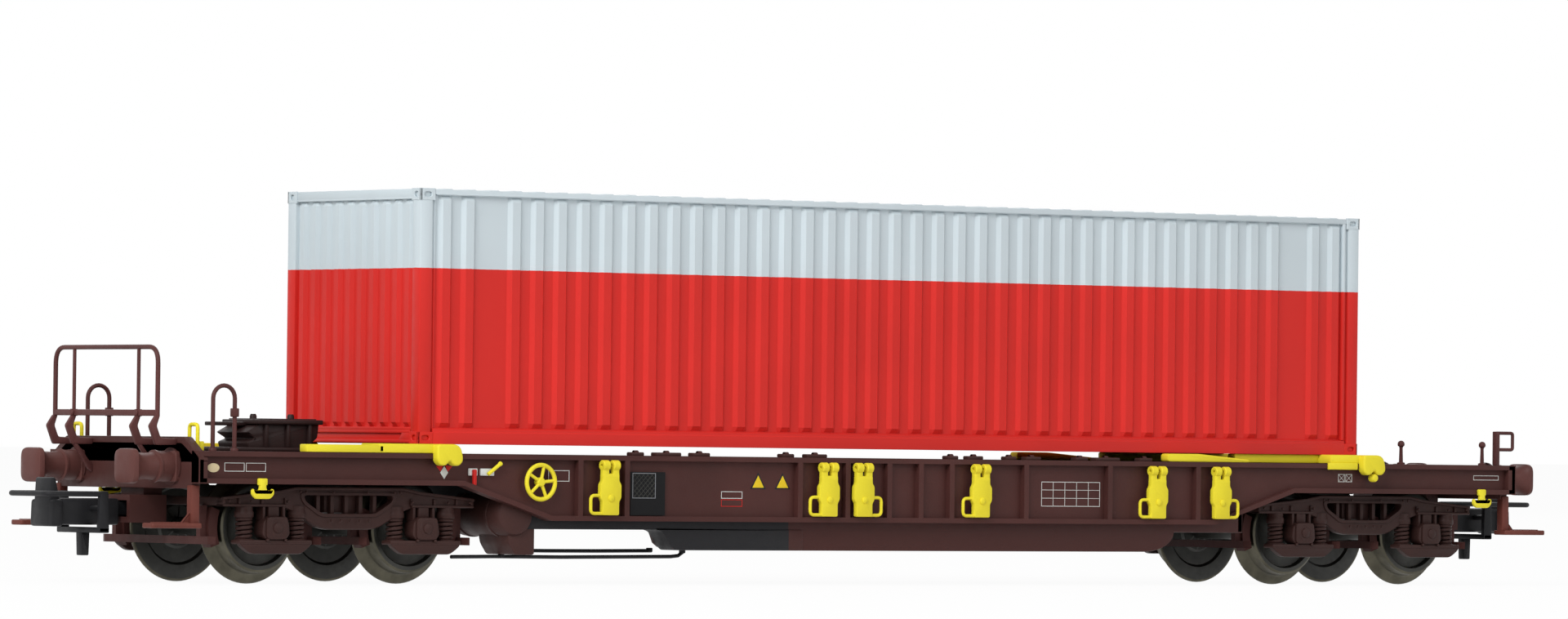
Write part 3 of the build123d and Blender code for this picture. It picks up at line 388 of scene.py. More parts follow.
AXES = {"x": np.eye(3)[[0, 1, 2]], "y": np.eye(3)[[1, 2, 0]], "z": np.eye(3)[[2, 0, 1]]}
PLANES = {"x": (1, 2, 0), "y": (0, 2, 1), "z": (0, 1, 2)}
WELD = 0.0005 * MM
CREASE = np.radians(36)
BALL_STEPS = 3
OVAL_STEPS = 28


def span(node):
    """A node's lowest and highest corners, in millimetres."""
    low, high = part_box(node)
    return np.array(low) / MM, np.array(high) / MM


def unit(vectors):
    """Vectors divided by their own lengths."""
    return vectors / np.linalg.norm(vectors, axis=-1, keepdims=True)


def grid(points, around=False, caps=False):
    """Quads between the neighbours in rows and columns of points. Around, the last column meets the first;
    with caps, the first and the last row are each closed by one face."""
    rows, columns = points.shape[:2]
    index = np.arange(rows * columns).reshape(rows, columns)
    ends = [index[0, ::-1], index[-1]] if caps else []
    if around:
        index = np.concatenate([index, index[:, :1]], axis=1)
    quads = np.stack([index[:-1, :-1], index[:-1, 1:], index[1:, 1:], index[1:, :-1]], axis=-1)
    return points.reshape(-1, 3), quads.reshape(-1, 4), ends


def join(shapes):
    """Shapes as one: their points in a row, and each one's faces counted on from those before it."""
    starts = np.cumsum([0] + [len(shape[0]) for shape in shapes])
    points = np.concatenate([shape[0] for shape in shapes])
    quads = np.concatenate([shape[1] + start for shape, start in zip(shapes, starts)])
    return points, quads, [cap + start for shape, start in zip(shapes, starts) for cap in shape[2]]


def copies(shape, places):
    """The same shape moved by each of several steps."""
    points, quads, caps = shape
    places = np.array(places, float)
    starts = np.arange(len(places)) * len(points)
    moved = (points[None] + places[:, None]).reshape(-1, 3)
    return moved, (quads[None] + starts[:, None, None]).reshape(-1, 4), [
        cap + start for start in starts for cap in caps]


def flipped(shape, axis=1):
    """A shape's mirror image across the plane where that axis is zero."""
    sign = np.ones(3)
    sign[axis] = -1
    return shape[0] * sign, shape[1], shape[2]


def both_sides(shape):
    """A shape on the near side and its mirror image on the far side."""
    return join([shape, flipped(shape)])


def turned(profile, centre, axis="z", sides=32):
    """A turned shape: every (radius, height) of the profile swept in a circle about the axis."""
    along, right, up = AXES[axis]
    radius, height = np.array(profile, float).T
    turn = np.linspace(0, TURN, sides, endpoint=False)
    circle = np.cos(turn)[:, None] * right + np.sin(turn)[:, None] * up
    return grid(np.array(centre) + radius[:, None, None] * circle + height[:, None, None] * along,
                around=True)


def tube(path, radius, normal, sides=10, closed=False):
    """A round bar: a circle square to the line at each point of a path, in a plane set by a normal."""
    path = np.array(path, float)
    ahead = np.roll(path, -1, 0) - np.roll(path, 1, 0) if closed else np.gradient(path, axis=0)
    ahead = unit(ahead)
    side = unit(np.cross(ahead, normal))
    up = np.cross(side, ahead)
    turn = np.linspace(0, TURN, sides, endpoint=False)[None, :, None]
    ring = path[:, None] + radius * (np.cos(turn) * side[:, None] + np.sin(turn) * up[:, None])
    if closed:
        return grid(np.concatenate([ring, ring[:1]]), around=True)
    return grid(ring, around=True, caps=True)


def eased(corners, radius, steps=5, closed=True):
    """Corners rounded off: each is a curve from a point before it to one after it, with the weights
    (1 - t) squared, 2 t (1 - t) and t squared on the start, the corner and the end."""
    corners = np.array(corners, float)

    def toward(target):
        """A point part of the way from each corner to its neighbour, at most 0.46 of it."""
        step = target - corners
        length = np.linalg.norm(step, axis=1, keepdims=True)
        return (corners + step * np.minimum(radius / np.maximum(length, WELD), 0.46))[:, None]

    t = np.linspace(0, 1, steps)[None, :, None]
    start, end = toward(np.roll(corners, 1, 0)), toward(np.roll(corners, -1, 0))
    line = (1 - t) ** 2 * start + 2 * t * (1 - t) * corners[:, None] + t ** 2 * end
    if closed:
        return line.reshape(-1, corners.shape[1])
    inner = line[1:-1].reshape(-1, corners.shape[1])
    return np.concatenate([corners[:1], inner, corners[-1:]])


def lifted(flat, heights, axis):
    """Rows of points in a plane, each row raised to its own height along the axis."""
    points = np.empty((*flat.shape[:2], 3))
    first, second, up = PLANES[axis]
    points[..., first], points[..., second] = flat[..., 0], flat[..., 1]
    points[..., up] = np.asarray(heights)[:, None]
    return points


def slab(outline, axis, low, high, edge=0.1, steps=3):
    """A plate with rounded edges: near both faces its outline is drawn in along the corners' bisectors,
    by one less the sine of an angle, while its height goes by one less the cosine."""
    outline = np.array(outline, float)
    ahead = unit(np.roll(outline, -1, 0) - outline)
    outward = np.stack([ahead[:, 1], -ahead[:, 0]], axis=1)
    x, y = outline.T
    outward *= np.sign(np.sum(x * np.roll(y, -1) - y * np.roll(x, -1)))
    total = outward + np.roll(outward, 1, 0)
    bisector = total * 2 / np.maximum((total ** 2).sum(1, keepdims=True), 0.6)
    turn = np.linspace(0, np.pi / 2, steps)
    inset, rise = edge * (1 - np.sin(turn)), edge * (1 - np.cos(turn))
    drawn_in = np.concatenate([inset, inset[::-1]])
    heights = np.concatenate([low + rise, high - rise[::-1]])
    return grid(lifted(outline[None] - bisector[None] * drawn_in[:, None, None], heights, axis),
                around=True, caps=True)


def rounded_box(low, high, edge=0.1):
    """A block with rounded edges: a small ball cut in eight, with the eighths pulled to the corners."""
    low, high = np.minimum(low, high), np.maximum(low, high)
    edge = min(edge, (high - low).min() / 2.05)
    middle, reach = (low + high) / 2, (high - low) / 2 - edge
    quarter = np.linspace(0, np.pi / 2, BALL_STEPS)
    turn = np.concatenate([quarter + corner * np.pi / 2 for corner in range(4)])
    tilt = np.concatenate([quarter - np.pi / 2, quarter])
    ball = np.stack([np.outer(np.cos(tilt), np.cos(turn)), np.outer(np.cos(tilt), np.sin(turn)),
                     np.repeat(np.sin(tilt)[:, None], len(turn), axis=1)], axis=-1)
    signs = np.empty_like(ball)
    signs[..., 0] = np.repeat([1, -1, -1, 1], BALL_STEPS)
    signs[..., 1] = np.repeat([1, 1, -1, -1], BALL_STEPS)
    signs[..., 2] = np.repeat([-1, 1], BALL_STEPS)[:, None]
    return grid(middle + ball * edge + signs * reach, around=True, caps=True)


def box_outline(x_low, x_high, y_low, y_high):
    """A rectangle's four corners, in order round it."""
    return np.array([[x_low, y_low], [x_high, y_low], [x_high, y_high], [x_low, y_high]])


def frame_strip(outline, inside, axis, low, high):
    """A flat ring between two outlines with equal numbers of points: out, up, in and down again."""
    flat = np.stack([outline, outline, inside, inside, outline])
    return grid(lifted(flat, [low, high, high, low, low], axis), around=True)


def put(name, body, parts, replaced=(), crease=CREASE):
    """One piece of the model: its shapes joined, welded, turned outwards and smooth up to a crease."""
    points, quads, caps = join([shape for _, shape in parts])
    marks = [np.full(len(shape[1]), mark) for mark, (_, shape) in enumerate(parts)]
    marks += [np.full(len(shape[2]), mark) for mark, (_, shape) in enumerate(parts)]
    mesh = bpy.data.meshes.new(name)
    mesh.from_pydata((points * MM).tolist(), [], quads.tolist() + [cap.tolist() for cap in caps])
    for finish, _ in parts:
        mesh.materials.append(materials[finish])
    mesh.polygons.foreach_set("material_index", np.concatenate(marks).astype(np.int32))
    welded = bmesh.new()
    welded.from_mesh(mesh)
    bmesh.ops.remove_doubles(welded, verts=welded.verts, dist=WELD)
    bmesh.ops.dissolve_degenerate(welded, edges=welded.edges, dist=WELD)
    bmesh.ops.recalc_face_normals(welded, faces=welded.faces)
    welded.to_mesh(mesh)
    welded.free()
    mesh.polygons.foreach_set("use_smooth", np.ones(len(mesh.polygons), bool))
    mesh.set_sharp_from_angle(angle=crease)
    piece = bpy.data.objects.new(name, mesh)
    bpy.context.scene.collection.objects.link(piece)
    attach(piece, body)
    if replaced:
        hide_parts(*replaced)
    return piece


BOGIES = ("left", "right")


def wheelset(side, place):
    """An axle and its two wheels, turned about the axle: black faces with bright treads and flanges."""
    node = f"wheelset_{side}_{place}"
    low, high = span(node)
    centre = ((low + high) / 2) * [1, 0, 1]
    flange, tip = (high[2] - low[2]) / 2, high[1]
    tread = flange - FLANGE_HEIGHT
    face = WHEEL_BACK + WHEEL_WIDTH
    back = [(AXLE_RADIUS, WHEEL_BACK), (2.4, WHEEL_BACK), (2.7, WHEEL_BACK + 0.25), (4.3, WHEEL_BACK + 0.25),
            (4.6, WHEEL_BACK), (flange - 0.3, WHEEL_BACK)]
    rolling = [(flange - 0.3, WHEEL_BACK), (flange - 0.08, WHEEL_BACK + 0.07), (flange, WHEEL_BACK + 0.25),
               (flange - 0.1, WHEEL_BACK + 0.45), (tread + 0.35, WHEEL_BACK + 0.72),
               (tread + 0.1, WHEEL_BACK + 0.9),
               (tread, WHEEL_BACK + 1.15), (tread - 0.12, face - 0.18), (tread - 0.25, face - 0.05),
               (tread - 0.4, face)]
    front = [(tread - 0.4, face), (tread - 0.85, face), (tread - 0.95, face - 0.12),
             (tread - 1.05, face - 0.65),
             (tread - 1.5, face - 0.75), (2.3, face - 0.6), (2.0, face - 0.45), (1.9, face - 0.05),
             (1.75, face), (JOURNAL_RADIUS, face)]
    stub = [(JOURNAL_RADIUS, face), (JOURNAL_RADIUS, tip - 0.9), (0.16, tip - 0.08), (0, tip)]
    wheels = [("wheel_black", both_sides(turned(back, centre, "y", 64))),
              ("tread", both_sides(turned(rolling, centre, "y", 64))),
              ("wheel_black", both_sides(turned(front, centre, "y", 64))),
              ("tread", both_sides(turned(stub, centre, "y", 20))),
              ("wheel_black", turned([(AXLE_RADIUS, -WHEEL_BACK), (AXLE_RADIUS, WHEEL_BACK)], centre, "y",
                                     24))]
    put(f"wheels_{side}_{place}", node, wheels, [node])
    return centre[0]


def coil_spring(low_z, high_z, y):
    """A wound spring: a wire on a line whose angle grows evenly with its height, flattened at both ends."""
    turns, wire = SPRING_TURNS, SPRING_WIRE
    t = np.linspace(0, 1, turns * 14 + 1)
    climb = np.clip((t * (turns + 1) - 0.5) / turns, 0, 1)
    radius = SPRING_RADIUS - wire
    angle = t * turns * TURN
    path = np.stack([radius * np.cos(angle), y + radius * np.sin(angle),
                     low_z + wire + climb * (high_z - low_z - 2 * wire)], axis=1)
    return tube(path, wire, [0, 0, 1], sides=7)


def axlebox_cover(face, z):
    """A square cover with round corners under a turned cap with a stepped rim, and four bolts."""
    profile = [(1.02, 0), (1.02, 0.22), (0.95, 0.3), (0.62, 0.3), (0.58, 0.42), (0.34, 0.52), (0, 0.55)]
    cap = turned([(radius, -height) for radius, height in profile], (0, face, z), "y", 28)
    square = slab(eased(box_outline(-1.45, 1.45, z - 1.3, z + 1.25), 0.55, 6), "y", face - 0.28, face + 0.1,
                  0.12)
    cover = join([cap, square])
    bolt = turned([(0.2, 0.05), (0.2, -0.14), (0.14, -0.2), (0, -0.22)], (0, face, z), "y", 6)
    corners = [(x, 0, up) for x in (-1.22, 1.22) for up in (-1.4, 1.02)]
    return [cover, copies(bolt, corners)]


def bogie_fittings(side, axles):
    """What is mounted on a bogie's sides: coil springs, axlebox covers and rivets on the frame."""
    body = f"bogie_{side}"
    springs_low, springs_high = span(f"springs_{side}")
    boxes_low = span(f"axleboxes_{side}")[0]
    frame_low, frame_high = span(f"bogie_frame_{side}")
    middle = (frame_low[0] + frame_high[0]) / 2
    spring = coil_spring(springs_low[2], springs_high[2], springs_low[1] + SPRING_RADIUS)
    places = [(axle + step, 0, 0) for axle in axles for step in (-SPRING_PLACE, SPRING_PLACE)]
    put(f"coil_springs_{side}", body, [("bogie_brown", both_sides(copies(spring, places)))],
        [f"springs_{side}"])
    face = boxes_low[1] + BOX_COVER_REACH
    covers = copies(join(axlebox_cover(face, AXLE_HEIGHT)), [(axle, 0, 0) for axle in axles])
    put(f"axlebox_covers_{side}", body, [("bogie_brown", both_sides(covers))])
    plate = frame_low[1]
    rivet = turned([(0.17, 0.06), (0.17, -0.03), (0.12, -0.11), (0, -0.14)], (0, plate, 0), "y", 8)
    crown = [(middle + x, 0, 10.62) for x in (-6.9, -6.1, -2.35, 2.35, 6.1, 6.9)]
    ends = [(middle + sign * x, 0, z) for sign in (-1, 1) for x,
            z in ((16.6, 9.55), (13.6, 9.5), (8.6, 9.55))]
    belly = [(middle + x, 0, 7.35) for x in (-2.6, -1.3, 0, 1.3, 2.6)]
    rivets = copies(rivet, crown + ends + belly)
    put(f"bogie_rivets_{side}", body, [("bogie_brown", both_sides(rivets))])


def buffer(side):
    """Two buffers as one sweep of superellipses along X: a half width, half height and power at each place,
    from a square base over a round ringed sleeve to a cushion-shaped plate with a soft dome."""
    low, high = span(f"buffers_{side}")
    root, tip = (high[0], low[0]) if side == "left" else (low[0], high[0])
    out = np.sign(tip - root)
    wide, tall = BUFFER_HALF
    rows = np.array([
        (0.0, 0, 0, 8), (0.0, 1.78, 1.78, 8), (0.42, 1.78, 1.78, 8), (0.5, 1.7, 1.7, 6),
        (0.52, 1.74, 1.74, 2),
        (2.1, 1.74, 1.74, 2), (2.2, 1.86, 1.86, 2), (2.45, 1.86, 1.86, 2), (2.55, 1.58, 1.58, 2),
        (3.6, 1.5, 1.5, 2), (4.7, 1.56, 1.56, 2.2), (5.35, 1.9, 1.8, 3),
        (5.62, wide - 0.12, tall - 0.12, 4.6),
        (5.72, wide, tall, 4.8), (6.1, wide, tall, 4.8), (6.3, wide - 0.1, tall - 0.1, 4.8),
        (6.42, wide - 0.45, tall - 0.42, 4.6), (6.5, wide * 0.5, tall * 0.5, 4.0), (6.5, 0, 0, 4)])
    turn = np.linspace(0, TURN, 48, endpoint=False)
    power = 2 / rows[:, 3, None]
    across = np.sign(np.cos(turn)) * np.abs(np.cos(turn)) ** power
    upward = np.sign(np.sin(turn)) * np.abs(np.sin(turn)) ** power
    points = np.stack([np.repeat(root + out * rows[:, 0, None], 48, axis=1),
                       rows[:, 1, None] * across - BUFFER_SPREAD,
                       rows[:, 2, None] * upward + BUFFER_CENTRE], axis=-1)
    put(f"cushion_buffers_{side}", "wagon",
        [("buffer_brown", both_sides(grid(points, around=True)))], [f"buffers_{side}"])


def railing():
    """The railing at the left end: a bar bent round two corners, two inner bars, a flat strip, and four
    arrow-shaped legs cut from plate."""
    high = span("railing")[1]
    x = -sill_end() - RAILING_STAND
    half = high[1] - BAR_RADIUS
    top = high[2] - BAR_RADIUS
    strip = span("headstock_left")[1][2] + STRIP_RISE
    corners = [(x, -half, strip), (x, -half, top), (x, half, top), (x, half, strip)]
    bar = tube(eased(corners, 1.9, 9, closed=False), BAR_RADIUS, [1, 0, 0], 12)
    inner = [tube([(x, y, strip), (x, y, (strip + top) / 2), (x, y, top)], 0.22, [1, 0, 0])
             for y in (-INNER_BAR, INNER_BAR)]
    cross = rounded_box((x - 0.24, -half - 0.2, strip), (x + 0.24, half + 0.2, strip + 0.72), 0.12)
    boss = turned([(0, -0.5), (0.3, -0.5), (0.42, -0.4), (0.42, 0.4), (0.3, 0.5), (0, 0.5)],
                  (x, 0, strip + 0.36), "x", 14)
    foot, seat = low_seat() + 0.25, -sill_end()
    leg = eased([(x + 0.24, strip + 0.1), (x - 0.3, strip + 0.1), (x - 1.15, (strip + foot) / 2 + 0.35),
                 (x - 0.28, foot - 0.35), (seat, foot - 0.3), (seat, foot + 0.4), (x + 0.35, foot + 0.5),
                 (x - 0.2, (strip + foot) / 2 + 0.35)], 0.22)
    legs = [slab(leg, "y", y - 0.27, y + 0.27, 0.09) for y in (-half, -INNER_BAR, INNER_BAR, half)]
    tail = eased([(x - 0.15, foot - 0.2), (x + 0.35, foot - 0.2), (-sill_end() + 0.02, 13.4),
                  (-sill_end() + 0.02, 12.6), (-sill_end() - 0.5, 12.9)], 0.2)
    tails = [slab(tail, "y", y - 0.24, y + 0.24, 0.08) for y in (-INNER_BAR, INNER_BAR)]
    bosses = copies(boss, [(0, y, 0) for y in (-INNER_BAR, INNER_BAR)])
    put("end_railing", "wagon",
        [("rail_brown", join([bar, cross, bosses, *inner, *legs, *tails]))], ["railing"])


def sill_end():
    """How far the sills reach from the middle, in millimetres."""
    return span("sill_near")[1][0]


def low_seat():
    """The underside of the arched bar on the left headstock."""
    return span("headstock_left")[1][2] - ARCH_BAR


def handrails():
    """Two inverted U handrails, each bent in a half circle at the top, with a clamp and two foot rings."""
    low, high = span("handrail_hoops")
    x_low, x_high = low[0] + BAR_RADIUS, high[0] - 0.3 - BAR_RADIUS / 2
    y, top, foot = high[1] - 0.4, high[2] - BAR_RADIUS, low[2]
    middle, reach = (x_low + x_high) / 2, (x_high - x_low) / 2
    arc = np.linspace(0, np.pi, 13)
    bend = np.stack([middle - reach * np.cos(arc), np.full(13, y), top - reach + reach * np.sin(arc)],
                    axis=1)
    path = np.concatenate([[(x_low, y, foot)], bend, [(x_high, y, foot)]])
    hoop = tube(path, BAR_RADIUS * 0.92, [0, 1, 0], 12)
    ring = turned([(0.24, 0), (0.45, 0), (0.45, 0.25), (0.38, 0.35), (0.24, 0.35)], (0, y, foot), "z", 14)
    feet = copies(ring, [(x_low, 0, 0), (x_high, 0, 0)])
    clamp_z = foot + CLAMP_RISE
    clamp = rounded_box((x_high - 0.4, y - 0.4, clamp_z - 0.5), (x_high + 0.4, y + 0.4, clamp_z + 0.5), 0.12)
    put("u_handrails", "wagon", [("rail_brown", both_sides(join([hoop, feet, clamp])))],
        ["handrail_hoops"])


def handwheel():
    """A five-spoke brake wheel on each side: a ring bar round a circle, spokes and a turned hub."""
    low, high = span("handwheel_near")
    centre = np.array([(low[0] + high[0]) / 2, low[1] + 0.22, (low[2] + high[2]) / 2])
    radius = (high[2] - low[2]) / 2 - 0.25
    turn = np.linspace(0, TURN, 56, endpoint=False)
    circle = np.stack([np.cos(turn), np.zeros(56), np.sin(turn)], axis=1)
    rim = tube(centre + radius * circle, 0.26, [0, 1, 0], 12, closed=True)
    spokes = []
    for angle in np.radians(SPOKE_TURN + 72 * np.arange(5)):
        way = np.array([np.cos(angle), 0, np.sin(angle)])
        spokes.append(tube(centre + way * np.linspace(0.3, radius, 5)[:, None], 0.2, [0, 1, 0], 8))
    hub = turned([(0, 0.3), (0.42, 0.26), (0.55, 0.1), (0.55, -0.4), (0.34, -0.5), (0.34, -1.0), (0, -1.0)],
                 centre, "y", 18)
    hub = (hub[0] * [1, -1, 1] + [0, 2 * centre[1], 0], hub[1], hub[2])
    near = join([rim, hub, *spokes])
    put("brake_handwheel_near", "wagon", [("yellow", near)], ["handwheel_near"])
    put("brake_handwheel_far", "wagon", [("yellow", flipped(near))], ["handwheel_far"])


def rope_hooks():
    """Double hooks: an anchor outline with eased corners and rounded edges, and a head plate behind."""
    low, high = span("rope_hooks")
    top, bottom, face = high[2], low[2], low[1]
    half, stem = 1.5, 0.46
    outline = eased([(-stem, top), (stem, top), (stem * 0.9, bottom + 1.15), (half - 0.5, bottom + 0.62),
                     (half - 0.28, bottom + 1.2), (half, bottom + 1.05), (half, bottom + 0.5),
                     (half - 0.5, bottom),
                     (0.5 - half, bottom), (-half, bottom + 0.5), (-half, bottom + 1.05),
                     (0.28 - half, bottom + 1.2),
                     (0.5 - half, bottom + 0.62), (-stem * 0.9, bottom + 1.15)], 0.3)
    hook = slab(outline, "y", face, face + 0.5, 0.14)
    head = rounded_box((-0.62, face + 0.05, top - 0.75), (0.62, face + 0.5, top + 0.05), 0.14)
    places = [(low[0] + half, 0, 0), (high[0] - half, 0, 0)]
    put("double_hooks", "wagon",
        [("yellow", both_sides(copies(join([hook, head]), places)))], ["rope_hooks"])


def stop_bracket(hand, bottom, top, back):
    """A fold-down bracket at X zero: a shouldered plate with a round boss, two necks that end in turned
    eyes, and a D-shaped handle bent round eased corners."""
    neck, half, front = 1.2, BRACKET_HALF, back - 0.7
    eye_z, eye_y = top - EYE_RADIUS, back - 0.98 + EYE_RADIUS
    shoulder = bottom + 2.0
    half_edge = [(neck, eye_z - 0.95), (neck, shoulder + 2.0), (half, shoulder + 1.6), (half, shoulder),
                 (neck, shoulder - 0.4), (neck, bottom)]
    outline = eased([(-x, z) for x, z in reversed(half_edge)] + half_edge, 0.22, 4)
    plate = slab(outline, "y", front, back, 0.13)
    eye = turned([(0.24, -0.48), (EYE_RADIUS - 0.08, -0.48), (EYE_RADIUS, -0.38), (EYE_RADIUS, 0.38),
                  (EYE_RADIUS - 0.08, 0.48), (0.24, 0.48), (0.24, -0.48)], (0, eye_y, eye_z), "x", 20)
    neck_low = shoulder + 1.6
    stem = rounded_box((-0.46, front + 0.02, neck_low), (0.46, back, eye_z - 0.1), 0.14)
    eyes = copies(join([eye, stem]), [(-0.72, 0, 0), (0.72, 0, 0)])
    boss = turned([(0.42, 0.05), (0.42, -0.12), (0.32, -0.2), (0, -0.22)], (0, front, shoulder), "y", 16)
    reach, middle = neck + 1.5, (front + back) / 2
    loop = eased([(neck - 0.3, middle, bottom + 0.2), (reach, middle, bottom + 0.2),
                  (reach, middle, bottom + 2.3), (neck - 0.3, middle, bottom + 2.3)], 0.55, 6, closed=False)
    handle = tube(loop, 0.2, [0, 1, 0], 10)
    handle = handle if hand > 0 else flipped(handle, 0)
    return join([plate, eyes, boss, handle])


def stop_brackets():
    """Six fold-down brackets along each sill, at the places of the solids, with their handles' hands."""
    low, high = span("stop_brackets_near")
    back = span("sill_near")[0][1]
    shapes = [copies(stop_bracket(hand, low[2], high[2], back), [(place, 0, 0)])
              for place, hand in zip(BRACKET_PLACES, BRACKET_HANDS)]
    near = join(shapes)
    put("fold_brackets_near", "wagon", [("yellow", near)], ["stop_brackets_near"])
    put("fold_brackets_far", "wagon", [("yellow", flipped(near))], ["stop_brackets_far"])


def knuckle(middle, top, bottom, back):
    """The hook at an arm's end: a sloping shoulder and two rounded lobes with a notch between them."""
    half = 1.8
    outline = eased([(middle - half, top), (middle + 0.9, top), (middle + 1.55, top - 0.45),
                     (middle + half, top - 1.4),
                     (middle + half, bottom + 0.5), (middle + half - 0.5, bottom), (middle + 0.55, bottom),
                     (middle, bottom + 0.62), (middle - 0.55, bottom), (middle - half + 0.5, bottom),
                     (middle - half, bottom + 0.6)], 0.5, 6)
    return slab(outline, "y", back - 1.0, back + 0.3, 0.28, 5)


def spigot_arms():
    """The yellow arms on each sill: a flat bar, a raised pad with a peg, and the hooked knuckle in front."""
    low, high = span("spigot_arms_near")
    sill_low, sill_high = span("sill_near")
    sill_top, back = sill_high[2], sill_low[1]
    pad_top = span("container_floor")[0][2]
    left_knuckle, right_knuckle = CONTAINER_LEFT + 2.6, high[0] - 1.8
    bottom, wedge = sill_top - 1.4, CONTAINER_RIGHT - 31.9
    pieces = [
        rounded_box((low[0], back, sill_top), (CONTAINER_LEFT - 6.0, back + 1.5, sill_top + 0.92), 0.16),
        rounded_box((CONTAINER_LEFT - 6.7, back, sill_top), (left_knuckle + 1.0, back + 3.9, pad_top), 0.2),
        slab(eased([(wedge, sill_top), (wedge, pad_top - 0.1), (wedge + 5, pad_top - 0.1),
                    (wedge + 13, sill_top + 0.35),
                    (wedge + 13, sill_top)], 0.4), "y", back + 0.2, back + 1.7, 0.14),
        rounded_box((CONTAINER_RIGHT - 19.5, back + 2.4, sill_top),
                    (CONTAINER_RIGHT - 5.5, back + 3.9, pad_top), 0.2),
        rounded_box((CONTAINER_RIGHT - 6.0, back, sill_top), (right_knuckle + 1.0, back + 3.9, pad_top),
                    0.2),
        rounded_box((CONTAINER_RIGHT - 6.5, back - 0.3, sill_top - 0.75),
                    (CONTAINER_RIGHT - 1.8, back + 0.1, sill_top + 0.1), 0.1),
        knuckle(left_knuckle, pad_top, bottom, back), knuckle(right_knuckle, pad_top, bottom, back),
    ]
    knob = turned([(0.5, 0.5), (0.5, -0.15), (0.4, -0.35), (0.15, -0.42), (0, -0.42)],
                  (right_knuckle + 0.2, back - 0.55, bottom - 0.35), "y", 18)
    peg = turned([(0.45, -0.1), (0.45, 0.4), (0.3, 0.7), (0, 0.7)], (0, -13.05, pad_top), "z", 16)
    pegs = copies(peg, [(CONTAINER_LEFT + 1.05, 0, 0), (CONTAINER_RIGHT - 1.05, 0, 0)])
    near = join([*pieces, knob, pegs])
    put("corner_arms_near", "wagon", [("yellow", near)], ["spigot_arms_near"])
    put("corner_arms_far", "wagon", [("yellow", flipped(near))], ["spigot_arms_far"])


def end_spigots():
    """Yellow eyes of bent bar with foot blocks, and the low plate between them."""
    low, high = span("end_spigots")
    x, foot, top = low[0] + 0.23, low[2], high[2] - 0.22
    y = high[1] - 0.22
    path = eased([(x, y - 1.7, foot), (x, y - 1.7, top), (x, y, top), (x, y, foot)], 0.5, 6, closed=False)
    eye = tube(path, 0.23, [1, 0, 0], 10)
    block = rounded_box((x - 0.05, y - 1.75, foot), (x + 0.9, y + 0.05, foot + 1.1), 0.12)
    plate = rounded_box((x + 1.0, -5.2, foot), (x + 2.1, 5.2, foot + 0.8), 0.12)
    put("end_eyes", "wagon", [("yellow", join([both_sides(join([eye, block])), plate]))],
        ["end_spigots"])


def lever_posts():
    """Three turned posts with round knobs, and the lamp bracket's flat post with its square loop."""
    foot, end = span("lever_posts")[0][2], sill_end()
    post = turned([(0.5, 0), (0.5, 0.2), (0.26, 0.3), (0.21, 2.0), (0.25, 2.2), (0.42, 2.35), (0.45, 2.55),
                   (0.38, 2.8), (0.2, 2.95), (0, 3.0)], (0, 0, foot), "z", 18)
    posts = copies(post, [(end - 2.2, -12, 0), (end - 15.7, -12, 0), (end - 12.9, 12, 0)])
    x = end + 0.5
    flag = slab(eased([(x - 0.7, foot), (x, foot), (x, foot + 4.3), (x - 0.7, foot + 4.3)], 0.1), "y",
                -12.35, -11.65, 0.1)
    loop = eased([(x - 0.3, -12, foot + 4.1), (x + 2.4, -12, foot + 4.1), (x + 2.4, -12, foot + 2.0),
                  (x - 0.3, -12, foot + 2.0)], 0.3, 5, closed=False)
    put("hand_posts", "wagon",
        [("rail_brown", join([posts, flag, tube(loop, 0.22, [0, 1, 0], 10)]))], ["lever_posts"])


def changeover_levers():
    """Two pale plates on each sill with bolts, a red lever hanging down and a yellow one pointing up."""
    face, z = -SILL_WEB, 13.1
    left = span("changeover_levers")[0][0] + 0.6
    plates = [rounded_box((left - 0.6, face - 0.32, z - 0.42), (left + 0.6, face, z + 0.42), 0.08),
              rounded_box((left + 1.05, face - 0.32, z - 0.42), (left + 2.95, face, z + 0.42), 0.08)]
    bolt = turned([(0.14, 0.05), (0.14, -0.06), (0, -0.1)], (0, face - 0.32, z), "y", 6)
    bolts = copies(bolt, [(left - 0.42, 0, 0.25), (left - 0.42, 0, -0.25), (left + 2.75, 0, 0.2),
                          (left + 1.25, 0, -0.2)])
    red = slab(eased([(left - 0.24, z + 0.3), (left + 0.24, z + 0.3), (left + 0.2, z - 1.5), (left, z - 1.8),
                      (left - 0.2, z - 1.5)], 0.15), "y", face - 0.75, face - 0.3, 0.1)
    yellow = tube([(left + 1.9, face - 0.55, z - 0.25), (left + 2.7, face - 0.6, z + 0.35),
                   (left + 3.5, face - 0.7, z + 0.98)],
                  0.22, [0, 1, 0], 10)
    knob = turned([(0, -0.28), (0.2, -0.2), (0.3, 0), (0.2, 0.2), (0, 0.28)],
                  (left + 3.5, face - 0.7, z + 0.98), "y", 12)
    parts = [("white_plastic", both_sides(join([*plates, bolts]))), ("signal_red", both_sides(red)),
             ("yellow", both_sides(join([yellow, knob])))]
    put("brake_changeover", "wagon", parts, ["changeover_levers"])


